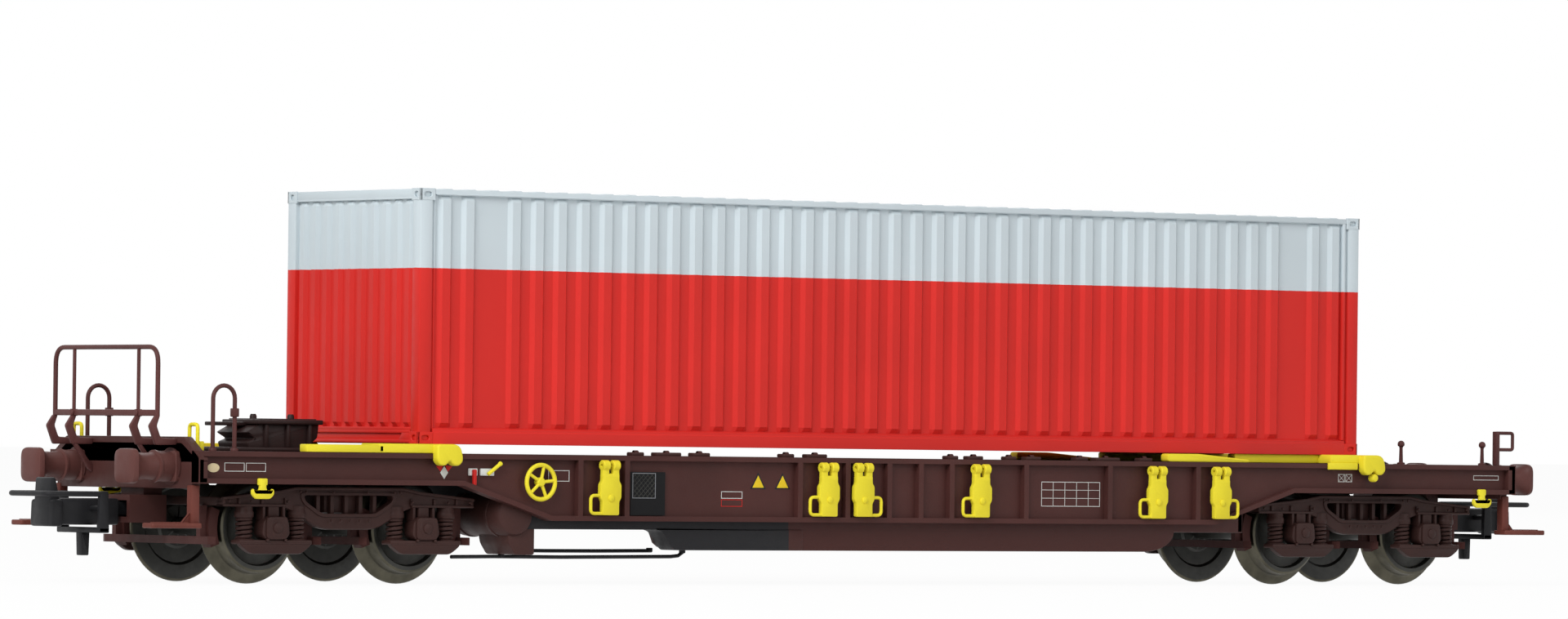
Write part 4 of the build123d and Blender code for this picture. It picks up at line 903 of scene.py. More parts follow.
def coupler(side):
    """The coupler: a shank, a tapered head with an upright plate, and the loop with its pins."""
    out = -1 if side == "left" else 1
    end = sill_end()

    def faced(shape):
        """The shape as drawn at the right end, and its mirror image at the left end."""
        return shape if out > 0 else flipped(shape, 0)

    tip = end + 11.1
    head = slab(eased([(tip - 1.7, 6.45), (tip - 0.2, 6.42), (tip, 6.7), (tip - 0.15, 9.4),
                       (tip - 0.3, 12.0),
                       (tip - 0.95, 12.0), (tip - 1.5, 9.7), (tip - 1.8, 8.2)], 0.3), "y", -1.7, 1.7, 0.18)
    cheek = slab(eased([(tip - 1.6, 6.4), (tip - 0.15, 6.4), (tip - 0.05, 6.8), (tip - 0.15, 9.5),
                        (tip - 1.6, 9.5)], 0.4),
                 "y", -2.4, 2.4, 0.25)
    shank = rounded_box((end - 0.2, -1.2, 7.7), (tip - 1.2, 1.2, 9.3), 0.2)
    tongue = rounded_box((end - 1.0, -1.15, 7.75), (end, 1.15, 9.25), 0.2)
    eye = turned([(0.9, -0.8), (1.38, -0.8), (1.38, 0.8), (0.9, 0.8), (0.9, -0.8)],
                 (end - 1.4, 0, COUPLER_AXIS), "z", 28)
    rib = rounded_box((end + 1.7, -1.9, 6.6), (tip - 1.2, 1.9, 9.65), 0.3)
    put(f"coupler_head_{side}", f"coupler_{side}",
        [("black", faced(join([head, cheek, shank, tongue, eye, rib])))], [f"coupler_{side}"])
    pivot, reach = end + 5.4, end + 13.1
    z = 9.8
    corner, inner = 1.1, 0.6
    loop_path = [(pivot - 0.3, -4.28, z + 0.35), (reach - 0.33, -4.28, z + 0.35),
                 (reach - 0.33, 4.28, z + 0.35), (pivot - 0.3, 4.28, z + 0.35)]
    loop = tube(eased(loop_path, corner, 8, closed=False), 0.32, [0, 0, 1], 12)
    cross = turned([(0, -4.2), (0.34, -4.2), (0.34, 4.2), (0, 4.2)], (pivot, 0, COUPLER_AXIS), "y", 16)
    cheek_outline = eased([(pivot - 0.7, 5.75), (pivot + 0.7, 5.75), (pivot + 0.55, z + 0.65),
                           (pivot - 0.55, z + 0.65)], 0.2)
    cheeks = both_sides(slab(cheek_outline, "y", -4.6, -3.95, 0.12))
    yoke = rounded_box((pivot - 0.7, -4.6, 5.7), (pivot + 0.7, 4.6, 6.35), 0.14)
    drop = slab(eased([(pivot - inner, 6.0), (pivot + inner, 6.0), (pivot + 0.5, 3.1), (pivot - 0.5, 3.1)],
                      0.15),
                "y", -0.6, 0.6, 0.15)
    put(f"coupling_loop_{side}", f"coupler_loop_{side}",
        [("black", faced(join([loop, cross, cheeks, yoke, drop])))], [f"coupler_loop_{side}"])


def mesh_panel():
    """The net locker on each sill: a black field with a pale frame and two families of crossing wires."""
    low, high = span("label_panels")
    face = -SILL_WEB - 0.3
    left, right, bottom, top = low[0] + 0.25, high[0] - 1.4, low[2] + 2.0, high[2] - 0.12
    wire, diagonal = 0.05, 0.62
    height = top - bottom
    starts = np.arange(left - height, right, diagonal)
    lines = []
    for lean in (1, -1):
        z0, z1 = (bottom, top) if lean > 0 else (top, bottom)
        from_t = np.clip((left - starts) / height, 0, 1)
        to_t = np.clip((right - starts) / height, 0, 1)
        for start, a, b in zip(starts, from_t, to_t):
            if b - a > 0.04:
                ends = [(start + t * height, face, z0 + t * (z1 - z0)) for t in (a, (a + b) / 2, b)]
                lines.append(tube(ends, wire / 2, [0, 1, 0], 4))
    rim = frame_strip(box_outline(left, right, bottom, top),
                      box_outline(left + 0.08, right - 0.08, bottom + 0.08, top - 0.08),
                      "y", face - 0.05, face)
    put("locker_net", "wagon",
        [("pale_wire", both_sides(rim)), ("dark_metal", both_sides(join(lines)))])


def sign_frame(x_low, x_high, z_low, z_high, y, bar=0.07):
    """A blank sign's thin raised outline on a face of the sill."""
    return frame_strip(box_outline(x_low, x_high, z_low, z_high),
                       box_outline(x_low + bar, x_high - bar, z_low + bar, z_high - bar), "y", y - 0.02,
                       y + 0.02)


def sill_signs():
    """Blank signs on both sills: outlined boxes, a ruled table, two yellow triangles with black rims,
    crossed squares, a small red and white diamond and a cream oval, all as thin raised shapes."""
    web = -SILL_WEB
    white, red, yellow, black = [], [], [], []
    for box in SIGN_BOXES:
        white.append(sign_frame(*box, web))
    red.append(sign_frame(*RED_BOX, web))
    for x in TRIANGLE_PLACES:
        rim = np.array([(x - 1.15, 11.4), (x + 1.15, 11.4), (x, 13.35)])
        middle = rim.mean(0)
        black.append(slab(rim, "y", web - 0.025, web + 0.02, 0.01))
        yellow.append(slab(middle + (rim - middle) * 0.74, "y", web - 0.045, web + 0.02, 0.01))
    for x_low in CROSSED_BOXES:
        for ends in (((x_low, 12.95), (x_low + 0.98, 13.85)), ((x_low, 13.85), (x_low + 0.98, 12.95))):
            path = [(ends[0][0], web, ends[0][1]), ((ends[0][0] + ends[1][0]) / 2, web, 13.4),
                    (ends[1][0], web, ends[1][1])]
            white.append(tube(path, 0.03, [0, 1, 0], 4))
    x_low, x_high, z_low, z_high = TABLE
    for x in np.linspace(x_low, x_high, 6)[1:-1]:
        white.append(rounded_box((x - 0.03, web - 0.02, z_low), (x + 0.03, web + 0.02, z_high), 0.01))
    for z in np.linspace(z_low, z_high, 4)[1:-1]:
        white.append(rounded_box((x_low, web - 0.02, z - 0.03), (x_high, web + 0.02, z + 0.03), 0.01))
    diamond = np.array([(0, -0.75), (0.55, 0), (0, 0.75), (-0.55, 0)]) + DIAMOND
    white.append(slab(diamond, "y", web - 0.03, web + 0.02, 0.01))
    for side in (-1, 1):
        wing = np.array([(side * 0.5, 0.1), (side * 1.15, 0.75), (side * 0.15, 0.85)]) + DIAMOND
        red.append(slab(wing, "y", web - 0.03, web + 0.02, 0.01))
    turn = np.linspace(0, TURN, 28, endpoint=False)
    oval = np.stack([np.cos(turn) * 0.82, np.sin(turn) * 0.52], axis=1) + OVAL
    parts = [("white_plastic", join(white)), ("signal_red", join(red)), ("sign_yellow", join(yellow)),
             ("black", join(black)), ("cream", slab(oval, "y", web - 0.03, web + 0.02, 0.01))]
    put("sill_signs_near", "wagon", parts)
    put("sill_signs_far", "wagon", [(finish, flipped(shape)) for finish, shape in parts])


def star(outline, centre, angles):
    """Where rays from a centre leave an outline: for each angle the reach to the edge that it crosses, from
    the cross product of the way to the edge's start with the edge, over that of the ray with the edge."""
    start = np.array(outline, float) - centre
    edge = np.roll(start, -1, 0) - start
    ray = np.stack([np.cos(angles), np.sin(angles)], axis=1)
    across = ray[:, None, 0] * edge[None, :, 1] - ray[:, None, 1] * edge[None, :, 0]
    across = np.where(np.abs(across) < 1e-9, 1e-9, across)
    reach = (start[:, 0] * edge[:, 1] - start[:, 1] * edge[:, 0])[None] / across
    share = (start[None, :, 0] * ray[:, None, 1] - start[None, :, 1] * ray[:, None, 0]) / across
    met = (share > -1e-6) & (share < 1 + 1e-6) & (reach > 0)
    return centre + ray * np.where(met, reach, 0).max(1)[:, None]


def holed_plate(outline, hole, axis, low, high, edge=0.08, extra=24):
    """A plate with a hole: both outlines met by the same rays from the hole's middle, and their rows joined
    in a ring that goes over one face, through the hole and back over the other face."""
    outline, hole = np.array(outline, float), np.array(hole, float)
    centre = hole.mean(0)
    corners = np.concatenate([outline, hole]) - centre
    angles = np.concatenate([np.arctan2(corners[:, 1], corners[:, 0]),
                             np.linspace(-np.pi, np.pi, extra, endpoint=False)])
    angles = np.unique(np.round(angles, 5))
    outer, inner = star(outline, centre, angles), star(hole, centre, angles)
    way = unit(outer - centre)
    rows = [(outer, low + edge), (outer, high - edge), (outer - way * edge, high),
            (inner + way * edge, high),
            (inner, high - edge), (inner, low + edge), (inner + way * edge, low), (outer - way * edge, low),
            (outer, low + edge)]
    return grid(lifted(np.stack([row for row, _ in rows]), [height for _, height in rows], axis),
                around=True)


def oval(width, height, middle):
    """A slot with round ends: a superellipse of power three about its middle."""
    turn = np.linspace(0, TURN, OVAL_STEPS, endpoint=False)
    wave = np.stack([np.cos(turn), np.sin(turn)], axis=1)
    return np.sign(wave) * np.abs(wave) ** (2 / 3) * [width / 2, height / 2] + middle


def pressed_line(start, end, count, skipped=()):
    """Places along a pressed sheet and how far each stands out, from 0 to 1: each pitch has a slope up to
    a crest about its middle and a slope down, apart from the pitches that stay flat."""
    pitch = (end - start) / count
    steps = np.array([-CREST_HALF - PRESS_SLOPE, -CREST_HALF, CREST_HALF, CREST_HALF + PRESS_SLOPE]) * pitch
    middles = start + (np.setdiff1d(np.arange(count), skipped) + 0.5) * pitch
    along = (middles[:, None] + steps).ravel()
    share = np.tile([0.0, 1.0, 1.0, 0.0], len(middles))
    return np.concatenate([[start], along, [end]]), np.concatenate([[0.0], share, [0.0]])


def pressed_sheet(along, share, bottom, top, face, thickness, across):
    """A pressed sheet: its depth is the profile's share times a share of the height that falls to zero by a
    short slope at both ends of each rib. Across is +1 or -1, the way from the face to the back."""
    heights = np.array([bottom, bottom + 0.1, bottom + 0.62, top - 0.62, top - 0.1, top])
    rise = np.array([0, 0, 1, 1, 0, 0])
    front = face + across * PRESS_DEPTH * (1 - share[:, None] * rise[None])
    back = np.full((len(along), 2), face + across * (PRESS_DEPTH + thickness))
    depth = np.concatenate([front, back], axis=1)
    height = np.broadcast_to(np.concatenate([heights, [top, bottom]]), depth.shape)
    return np.broadcast_to(along[:, None], depth.shape), depth, height


def container_sides():
    """Both long sides: a pressed sheet with forty narrow ribs and two flat panels, a tall bottom rail with a
    ledge line, and a slim top rail."""
    low, high = span("container_side_near")
    left, right = low[0], high[0]
    along, share = pressed_line(left + 0.05, right - 0.05, SIDE_RIBS, SIDE_FLATS)
    x, y, z = pressed_sheet(along, share, low[2] + BOTTOM_RAIL, high[2] - TOP_RAIL, low[1] + 0.12, 0.35, 1)
    sheet = grid(np.stack([x, y, z], axis=-1), around=True, caps=True)
    rail_low, rail_high = low[2], low[2] + BOTTOM_RAIL
    bottom = slab([(low[1], rail_low), (low[1] + 1.3, rail_low), (low[1] + 1.3, rail_high),
                   (low[1] + 0.3, rail_high),
                   (low[1] + 0.08, rail_high - 0.12), (low[1] + 0.08, rail_high - 0.42),
                   (low[1], rail_high - 0.5)],
                  "x", left, right, 0.05)
    top = slab([(low[1] + 0.04, high[2] - TOP_RAIL), (low[1] + 1.3, high[2] - TOP_RAIL),
                (low[1] + 1.3, high[2] - 0.14), (low[1] + 0.04, high[2] - 0.14)], "x", left, right, 0.06)
    lip = rounded_box((right - 0.55, low[1] + 0.02, low[2] + BOTTOM_RAIL),
                      (right - 0.12, low[1] + 0.7, high[2] - TOP_RAIL), 0.08)
    seam = rounded_box((left, low[1] + 0.3, low[2] + 0.2), (left + 0.2, low[1] + 1.0, high[2] - 0.3), 0.05)
    near = join([sheet, bottom, top, lip, seam])
    put("container_long_side_near", "container", [("paint", near)],
        ["container_side_near"], FLAT_CREASE)
    put("container_long_side_far", "container", [("paint", flipped(near))],
        ["container_side_far"], FLAT_CREASE)


def container_top():
    """The roof: shallow ribs across it that reach over the rails, so that they show as low bumps."""
    low, high = span("container_roof")
    along, share = pressed_line(low[0] + 0.3, high[0] - 0.3, SIDE_RIBS)
    heights = high[2] - ROOF_RIB * (1 - share)
    reach = -span("container_side_near")[0][1] - 0.12
    y = np.array([-reach, -reach + 0.25, reach - 0.25, reach, reach, -reach])
    z = np.stack([heights - 0.1, heights, heights, heights - 0.1, np.full_like(heights, low[2]),
                  np.full_like(heights, low[2])], axis=1)
    x = np.broadcast_to(along[:, None], z.shape)
    sheet = grid(np.stack([x, np.broadcast_to(y, z.shape), z], axis=-1), around=True, caps=True)
    put("container_top_sheet", "container", [("paint", sheet)], ["container_roof"],
        FLAT_CREASE)


def container_front():
    """The end wall at the left: ten pressed ribs between the posts, with a raised line near the bottom."""
    low, high = span("container_end_wall")
    along, share = pressed_line(low[1], high[1], FRONT_RIBS)
    y, x, z = pressed_sheet(along, share, low[2] + 0.35, high[2] + 0.55, low[0], 0.3, 1)
    sheet = grid(np.stack([x, y, z], axis=-1), around=True, caps=True)
    line = rounded_box((low[0] - 0.02, low[1], low[2] + 0.05), (low[0] + 0.6, high[1], low[2] + 0.45), 0.08)
    lip = rounded_box((low[0] - 0.05, low[1], high[2] + 0.45), (low[0] + 0.5, high[1], high[2] + 0.7), 0.08)
    put("container_front_wall", "container", [("paint", join([sheet, line, lip]))],
        ["container_end_wall"], FLAT_CREASE)


def casting(x_end, inward, y_side, bottom, height):
    """A corner casting: a block with a slotted plate on its side, its end and its outer level face."""
    length, width, skin = CASTING
    y_out = y_side * CONTAINER_HALF
    x_in, y_in = x_end + inward * length, y_side * (CONTAINER_HALF - width)
    top = bottom + height
    core = rounded_box((x_end + inward * skin, y_out - y_side * skin, bottom + skin / 2),
                       (x_in, y_in, top - skin / 2), 0.05)
    middle = (bottom + top) / 2
    x_low, x_high = sorted((x_end, x_in))
    y_low, y_high = sorted((y_out, y_in))
    side_face = holed_plate(box_outline(x_low, x_high, bottom, top),
                            oval(length * 0.5, height * 0.42, ((x_low + x_high) / 2, middle)),
                            "y", *sorted((y_out, y_out - y_side * skin)), 0.06)
    end_face = holed_plate(box_outline(y_low, y_high, bottom, top),
                           oval(width * 0.42, height * 0.46, ((y_low + y_high) / 2, middle)),
                           "x", *sorted((x_end, x_end + inward * skin)), 0.06)
    return join([core, side_face, end_face])


def container_ends():
    """An end frame at each end: two grooved posts, a header, a recessed sill and four castings."""
    for side, inward in (("left", 1), ("right", -1)):
        low, high = span(f"container_frame_{side}")
        x_end = low[0] if inward > 0 else high[0]
        bottom, top = low[2], high[2]
        shapes = []
        for y_side in (-1, 1):
            for z in (bottom, top - CASTING_TALL):
                shapes.append(casting(x_end, inward, y_side, z, CASTING_TALL))
            y_out, y_in = y_side * (CONTAINER_HALF - 0.04), y_side * (CONTAINER_HALF - POST_WIDTH)
            shapes.append(rounded_box((x_end + inward * 0.06, y_out, bottom + 1),
                                      (x_end + inward * POST_DEPTH, y_in, top - 1), 0.12))
            shapes.append(rounded_box((x_end + inward * (POST_DEPTH - 0.1), y_out - y_side * 0.35,
                                       bottom + 1),
                                      (x_end + inward * 2.1, y_in, top - 1), 0.05))
        half = CONTAINER_HALF - CASTING[1] + 0.05
        x_back = x_end + inward * 1.5
        shapes += [
            rounded_box((x_end + inward * 0.12, -half, top - HEADER), (x_back, half, top - 0.06), 0.12),
            rounded_box((x_end + inward * 0.12, -half, bottom + 0.06), (x_back, half, bottom + 0.5), 0.1),
            rounded_box((x_end + inward * 0.12, -half, bottom + 1.2), (x_back, half, bottom + 1.62), 0.1),
            rounded_box((x_end + inward * 0.42, -half, bottom + 0.4), (x_back, half, bottom + 1.3), 0.05),
        ]
        for y_side in (-1, 1):
            ramp = [(y_side * half, bottom + 0.3), (y_side * half, bottom + 1.4),
                    (y_side * (half - 1.6), bottom + 1.4), (y_side * (half - 2.6), bottom + 0.3)]
            shapes.append(slab(ramp, "x", *sorted((x_end + inward * 0.14, x_end + inward * 0.8)), 0.06))
        put(f"container_end_{side}", "container", [("paint", join(shapes))],
            [f"container_frame_{side}"], FLAT_CREASE)


def door_gear():
    """What is mounted on the doors: lugs and hinges in pairs at the outer edges, bar keepers and handles."""
    low, high = span("container_frame_right")
    tall = high[2] - low[2]
    face = high[0] - 0.02
    shapes = []
    for y_side in (-1, 1):
        for share in HINGE_SHARES:
            z = high[2] - share * tall
            y = y_side * (CONTAINER_HALF - 1.05)
            for step in (-0.42, 0.42):
                shapes.append(rounded_box((face - 0.75, y - 0.8, z + step - 0.2),
                                          (face, y + 0.8, z + step + 0.2), 0.1))
            shapes.append(turned([(0.01, -0.8), (0.24, -0.78), (0.24, 0.78), (0.01, 0.8)],
                                 (face - 0.3, y - y_side * 0.75, z), "z", 12))
    door = span("container_door_near")
    bottom, top = door[0][2], door[1][2]
    width = door[1][1] - door[0][1]
    for place in (0.22, 0.72):
        for y in (door[0][1] + place * width,
                  door[0][1] + place * width + CONTAINER_HALF - POST_WIDTH - 0.05):
            for share in (0.06, 0.34, 0.66, 0.94):
                z = bottom + share * (top - bottom)
                shapes.append(rounded_box((face - 0.72, y - 0.55, z - 0.32), (face, y + 0.55, z + 0.32),
                                          0.14))
            z = bottom + 0.36 * (top - bottom)
            shapes.append(rounded_box((face - 0.4, y, z + 0.5), (face, y + 2.3, z + 0.9), 0.12))
    put("container_door_gear", "container", [("paint", join(shapes))])


def side_frames(side):
    """The bogie's frame: two pressed side plates with a barred window, a lip round the crown, shelves and
    spring caps, joined by a bolster with a turned pivot and two end transoms."""
    low, high = span(f"bogie_frame_{side}")
    middle = (low[0] + high[0]) / 2
    out, back, top = -12.8, -11.6, 11.2
    half_edge = [(0.0, top), (7.3, top), (9.3, top - 0.35), (17.3, 9.95), (17.3, 8.95), (9.0, 8.9),
                 (7.6, 8.4), (4.4, 6.6), (2.9, 6.3)]
    outline = eased(half_edge + [(-x, z) for x, z in reversed(half_edge[1:])], 0.9, 5)
    window = eased([(-6.2, 10.25), (6.2, 10.25), (5.9, 9.5), (3.6, 8.15), (-3.6, 8.15), (-5.9, 9.5)], 0.5, 4)
    rim = eased([(-6.75, 10.6), (6.75, 10.6), (6.4, 9.35), (3.9, 7.75), (-3.9, 7.75), (-6.4, 9.35)], 0.6, 4)
    plate = holed_plate(outline, window, "y", out, back, 0.16)
    collar = holed_plate(rim, window, "y", out - 0.16, out + 0.1, 0.05)
    bars = [rounded_box((x - 0.26, out + 0.35, 8.0), (x + 0.26, back - 0.1, 10.4), 0.08)
            for x in (-3.9, -1.95, 0, 1.95, 3.9)]
    crown = slab([(-7.4, top), (7.4, top), (9.4, top - 0.38), (9.3, top - 0.72), (7.3, top - 0.34),
                  (-7.3, top - 0.34),
                  (-9.3, top - 0.72), (-9.4, top - 0.38)], "y", out - 0.4, out + 0.1, 0.08)
    details = [plate, collar, crown, *bars]
    for way in (-1, 1):
        slope = [(way * 9.2, top - 0.4), (way * 17.35, 9.98), (way * 17.35, 9.66), (way * 9.2, top - 0.74)]
        details.append(slab(slope, "y", out - 0.4, out + 0.1, 0.08))
        details.append(rounded_box((way * 8.6, out - 0.4, 8.9), (way * 17.3, back, 9.2), 0.1))
        details.append(rounded_box((way * 16.9, out - 0.3, 8.9), (way * 17.3, back, 9.9), 0.1))
        for x in (8.7, 11.9, 15.0):
            details.append(rounded_box((way * x - 0.17, out - 0.24, 9.1), (way * x + 0.17, out + 0.1, 9.9),
                                       0.06))
    cap = turned([(0, 7.6), (1.05, 7.65), (1.12, 7.75), (1.12, 8.3), (1.02, 8.45), (1.0, 9.0), (0, 9.0)],
                 (0, -12.2, 0), "z", 24)
    details.append(copies(cap, [(axle + step, 0, 0) for axle in (-AXLE_PLACE, AXLE_PLACE)
                                for step in (-SPRING_PLACE, SPRING_PLACE)]))
    near = join(details)
    cross = [rounded_box((-2.6, back - 0.1, 8.2), (2.6, -back + 0.1, 11.2), 0.2),
             turned([(0, 11.1), (1.5, 11.1), (1.5, 15.1), (1.4, 15.2), (0, 15.2)], (0, 0, 0), "z", 32)]
    for x in (-17.0, 17.0):
        cross.append(rounded_box((x - 0.3, back - 0.1, 9.0), (x + 0.3, -back + 0.1, 10.0), 0.12))
    frame = copies(join([both_sides(near), *cross]), [(middle, 0, 0)])
    put(f"bogie_side_frames_{side}", f"bogie_{side}", [("bogie_brown", frame)],
        [f"bogie_frame_{side}"])
    return middle


def axlebox_castings(side, axles):
    """Axleboxes with cut corners and a hollow seat, each on a boat-shaped tie below a guide."""
    face, back = -13.6, -11.6
    body_outline = eased([(-1.9, 5.7), (-1.3, 5.1), (1.3, 5.1), (1.9, 5.7), (1.75, 7.2), (1.1, 7.8),
                          (-1.1, 7.8), (-1.75, 7.2)],
                         0.35, 4)
    body = slab(body_outline, "y", face, back, 0.16)
    guide = rounded_box((-0.75, face + 0.55, 7.6), (0.75, back, 9.1), 0.16)
    horns = [rounded_box((way * 1.15, face + 0.5, 7.3), (way * 1.55, back, 9.0), 0.12) for way in (-1, 1)]
    seat = rounded_box((-4.95, face + 0.05, 4.6), (4.95, back, 5.1), 0.14)
    cups = copies(turned([(0, 0), (1.15, 0), (1.15, 0.22), (0.95, 0.3), (0, 0.3)], (0, -12.2, 4.95), "z",
                         20),
                  [(-SPRING_PLACE, 0, 0), (SPRING_PLACE, 0, 0)])
    boat = slab(eased([(-4.9, 4.8), (4.9, 4.8), (4.6, 4.3), (3.4, 3.5), (-3.4, 3.5), (-4.6, 4.3)], 0.5, 5),
                "y", face, face + 1.0, 0.14)
    one = join([body, guide, *horns, seat, cups, boat])
    shape = both_sides(copies(one, [(axle, 0, 0) for axle in axles]))
    put(f"axlebox_castings_{side}", f"bogie_{side}", [("bogie_brown", shape)],
        [f"axleboxes_{side}"])


def deck_steps(side):
    """A shunter's step at each corner: a ribbed tread with rounded corners on a bent strap."""
    low, high = span(f"steps_{side}")
    out = -1 if side == "left" else 1
    x_in = high[0] if out < 0 else low[0]
    x_out = low[0] if out < 0 else high[0]
    y, half = 14.1, 1.2
    tread = slab(eased([(x_in, -y - half), (x_out, -y - half), (x_out, -y + half), (x_in, -y + half)], 0.35,
                       5), "z",
                 low[2], low[2] + 0.6, 0.14)
    ribs = [rounded_box((x_in + out * (1.7 + 0.62 * step), -y - half + 0.25, low[2] + 0.5),
                        (x_in + out * (2.0 + 0.62 * step), -y + half - 0.25, low[2] + 0.7), 0.06)
                        for step in range(7)]
    post = rounded_box((x_in, -y - 0.55, low[2] + 0.4), (x_in + out * 1.1, -y + 0.55, high[2] + 0.4), 0.14)
    gusset = slab(eased([(x_in + out * 0.9, low[2] + 0.5), (x_in + out * 2.3, low[2] + 0.5),
                         (x_in + out * 0.9, low[2] + 2.0)], 0.15),
                  "y", -y - 0.2, -y + 0.2, 0.08)
    put(f"shunter_steps_{side}", "wagon",
        [("step_brown", both_sides(join([tread, post, gusset, *ribs])))], [f"steps_{side}"])


def trestle():
    """The dark support over the left bogie: a waisted casting on a foot, a flanged top and two pins."""
    low, high = span("kingpin_trestle")
    x = (low[0] + high[0]) / 2
    foot, plate = low[2], 18.9
    body = slab(eased([(x - 3.2, foot + 0.3), (x + 5.2, foot + 0.3), (x + 5.5, foot + 1.0),
                       (x + 6.3, foot + 1.6),
                       (x + 6.5, plate - 0.3), (x - 1.4, plate - 0.3), (x - 3.7, plate - 1.5),
                       (x - 2.4, plate - 2.2), (x - 3.5, plate - 2.6)], 0.25, 4), "y", -3.2, 3.2, 0.2)
    base = rounded_box((x - 5.6, -3.9, foot), (x + 6.2, 3.9, foot + 0.5), 0.16)
    top = rounded_box((x - 2.4, -3.9, plate - 0.55), (x + 6.6, 3.9, plate), 0.14)
    tail = rounded_box((x - 6.6, -1.1, plate - 0.75), (x - 1.0, 1.1, plate - 0.3), 0.12)
    rim = holed_plate(box_outline(x - 1.8, x + 6.0, -3.3, 3.3), oval(4.4, 4.4, (x + 2.1, 0)), "z",
                      plate - 0.1, plate + 0.12, 0.05)
    pin = turned([(0.42, -0.1), (0.42, 0.45), (0.3, 0.7), (0, 0.7)], (x, 0, plate - 0.05), "z", 16)
    pins = copies(pin, [(-0.6, 0, 0), (4.6, 0, 0)])
    webs = [rounded_box((x + place - 0.25, -3.6, foot + 0.5), (x + place + 0.25, 3.6, plate - 0.5), 0.1)
            for place in (-1.0, 2.0, 5.0)]
    put("trestle_casting", "wagon",
        [("trestle_brown", join([body, base, top, tail, rim, pins, *webs]))], ["kingpin_trestle"])


def left_headstock():
    """The left end beam with an open arch over it: a low plate, two short posts and a bar that slopes down
    to the sills at both ends."""
    low, high = span("headstock_left")
    x, back, top = low[0], high[0], high[2]
    plate = rounded_box((x, -DECK_HALF, low[2]), (back, DECK_HALF, 14.2), 0.12)
    corners = [rounded_box((x, side * 14.2, 11.5), (back, side * SILL_OUTSIDE, 14.2), 0.12)
               for side in (-1, 1)]
    arch = [(-16.0, 13.7), (-16.0, 14.5), (-12.6, top), (12.6, top), (16.0, 14.5), (16.0, 13.7),
            (12.2, top - 0.85), (-12.2, top - 0.85)]
    bar = slab(eased(arch, 0.3, 4), "x", x, back, 0.12)
    posts = [rounded_box((x + 0.1, y - 0.42, 13.9), (back - 0.1, y + 0.42, top - 0.4), 0.1)
             for y in (-8.6, 8.6)]
    rims = [turned([(2.15, 0.1), (2.15, -0.18), (1.95, -0.25), (1.7, -0.25)], (x, y, BUFFER_CENTRE), "x", 32)
            for y in (-BUFFER_SPREAD, BUFFER_SPREAD)]
    put("arched_headstock", "wagon", [("brown", join([plate, bar, *corners, *posts, *rims]))],
        ["headstock_left"])


def trough():
    """The sunk trough as a plate bent along X: shallow at the left, deep from the middle to a rounded rise
    at the right, with side walls, end walls, and a low box along the near side."""
    low, high = span("wheel_pocket")
    half, skin, deep, shallow, wall_top = high[1], 0.6, 4.1, 6.5, 9.3
    rise = np.linspace(0, np.pi / 2, 8)
    curve = [(39.96 + 4.64 * np.sin(angle), deep + (shallow - deep) * (1 - np.cos(angle))) for angle in rise]
    line = [(low[0], shallow), (-15.4, shallow), (-14.5, shallow - 0.5), (-13.9, deep + 0.5), (-13.2, deep),
            *curve, (high[0], shallow)]
    over = [(x, z + skin) for x, z in reversed(line)]
    floor = slab(line + over, "y", -half + 0.4, half - 0.4, 0.05)
    wall = line + [(high[0], wall_top), (low[0], wall_top)]
    walls = [slab(wall, "y", -half, -half + 0.8, 0.12), slab(wall, "y", half - 0.8, half, 0.12)]
    ends = [rounded_box((place, -half, shallow), (place + 0.8, half, high[2]), 0.1)
            for place in (low[0], high[0] - 0.8)]
    locker = [(-34.2, shallow + 0.1), (-33.1, 6.3), (-32.4, 5.5), (-31.8, 4.6), (-31.2, deep), (-12.4, deep),
              (-12.4, shallow + 0.1)]
    box = slab(eased(locker, 0.3, 4), "y", -half - 0.1, -half + 3.0, 0.1)
    ribs = [rounded_box((x - 0.3, -half + 0.8, shallow), (x + 0.3, half - 0.8, wall_top - 0.6), 0.1)
            for x in (-48.0, -36.0, -24.0, 48.0)]
    put("trough_pressing", "wagon", [("pocket", join([floor, *walls, *ends, box, *ribs]))],
        ["wheel_pocket"])


def brake_gear():
    """The brake's tank across the wagon, turned with domed ends, its foot, and two pull rods in guides."""
    tank = turned([(0, -14.95), (1.7, -14.9), (2.3, -14.7), (2.6, -14.2), (2.6, -4.8), (2.3, -4.2),
                   (1.7, -4.02), (0, -4.0)],
                  TANK_PLACE, "y", 40)
    bands = [turned([(2.62, place - 0.25), (2.72, place - 0.2), (2.72, place + 0.2), (2.62, place + 0.25)],
                    TANK_PLACE, "y", 40)
             for place in (-12.2, -6.0)]
    foot = slab(eased([(-55.4, 7.0), (-51.3, 7.0), (-51.3, 3.5), (-54.0, 3.5), (-54.9, 4.8)], 0.3), "y",
                -14.3, -8.2, 0.16)
    put("brake_tank", "wagon", [("dark_brown", join([tank, foot, *bands]))], ["brake_casing"])
    lower = [(-60.5, -10.5, 3.2), (-54.4, -10.5, 3.25), (-45, -10.5, 3.2), (-36, -10.5, 3.25),
             (-29, -10.5, 3.3), (-27.9, -10.5, 3.4), (-27.1, -10.5, 3.9)]
    upper = [(-52.6, -8.0, 3.95), (-45, -8.0, 3.9), (-38, -8.0, 3.9), (-30, -8.0, 3.95)]
    guides = [rounded_box((x - 0.3, y - 0.3, z), (x + 0.3, y + 0.3, top), 0.08) for x, y, z, top in (
        (-53.4, -10.5, 3.1, 3.7), (-27.3, -10.5, 3.7, 4.3), (-30.3, -8.0, 3.8, 4.3),
        (-51.7, -8.0, 3.7, 4.2))]
    rods = [tube(lower, ROD_RADIUS, [0, 1, 0], 10), tube(upper, ROD_RADIUS, [0, 1, 0], 10)]
    put("brake_pull_rods", "wagon", [("black", join([*rods, *guides]))], ["brake_rods"])


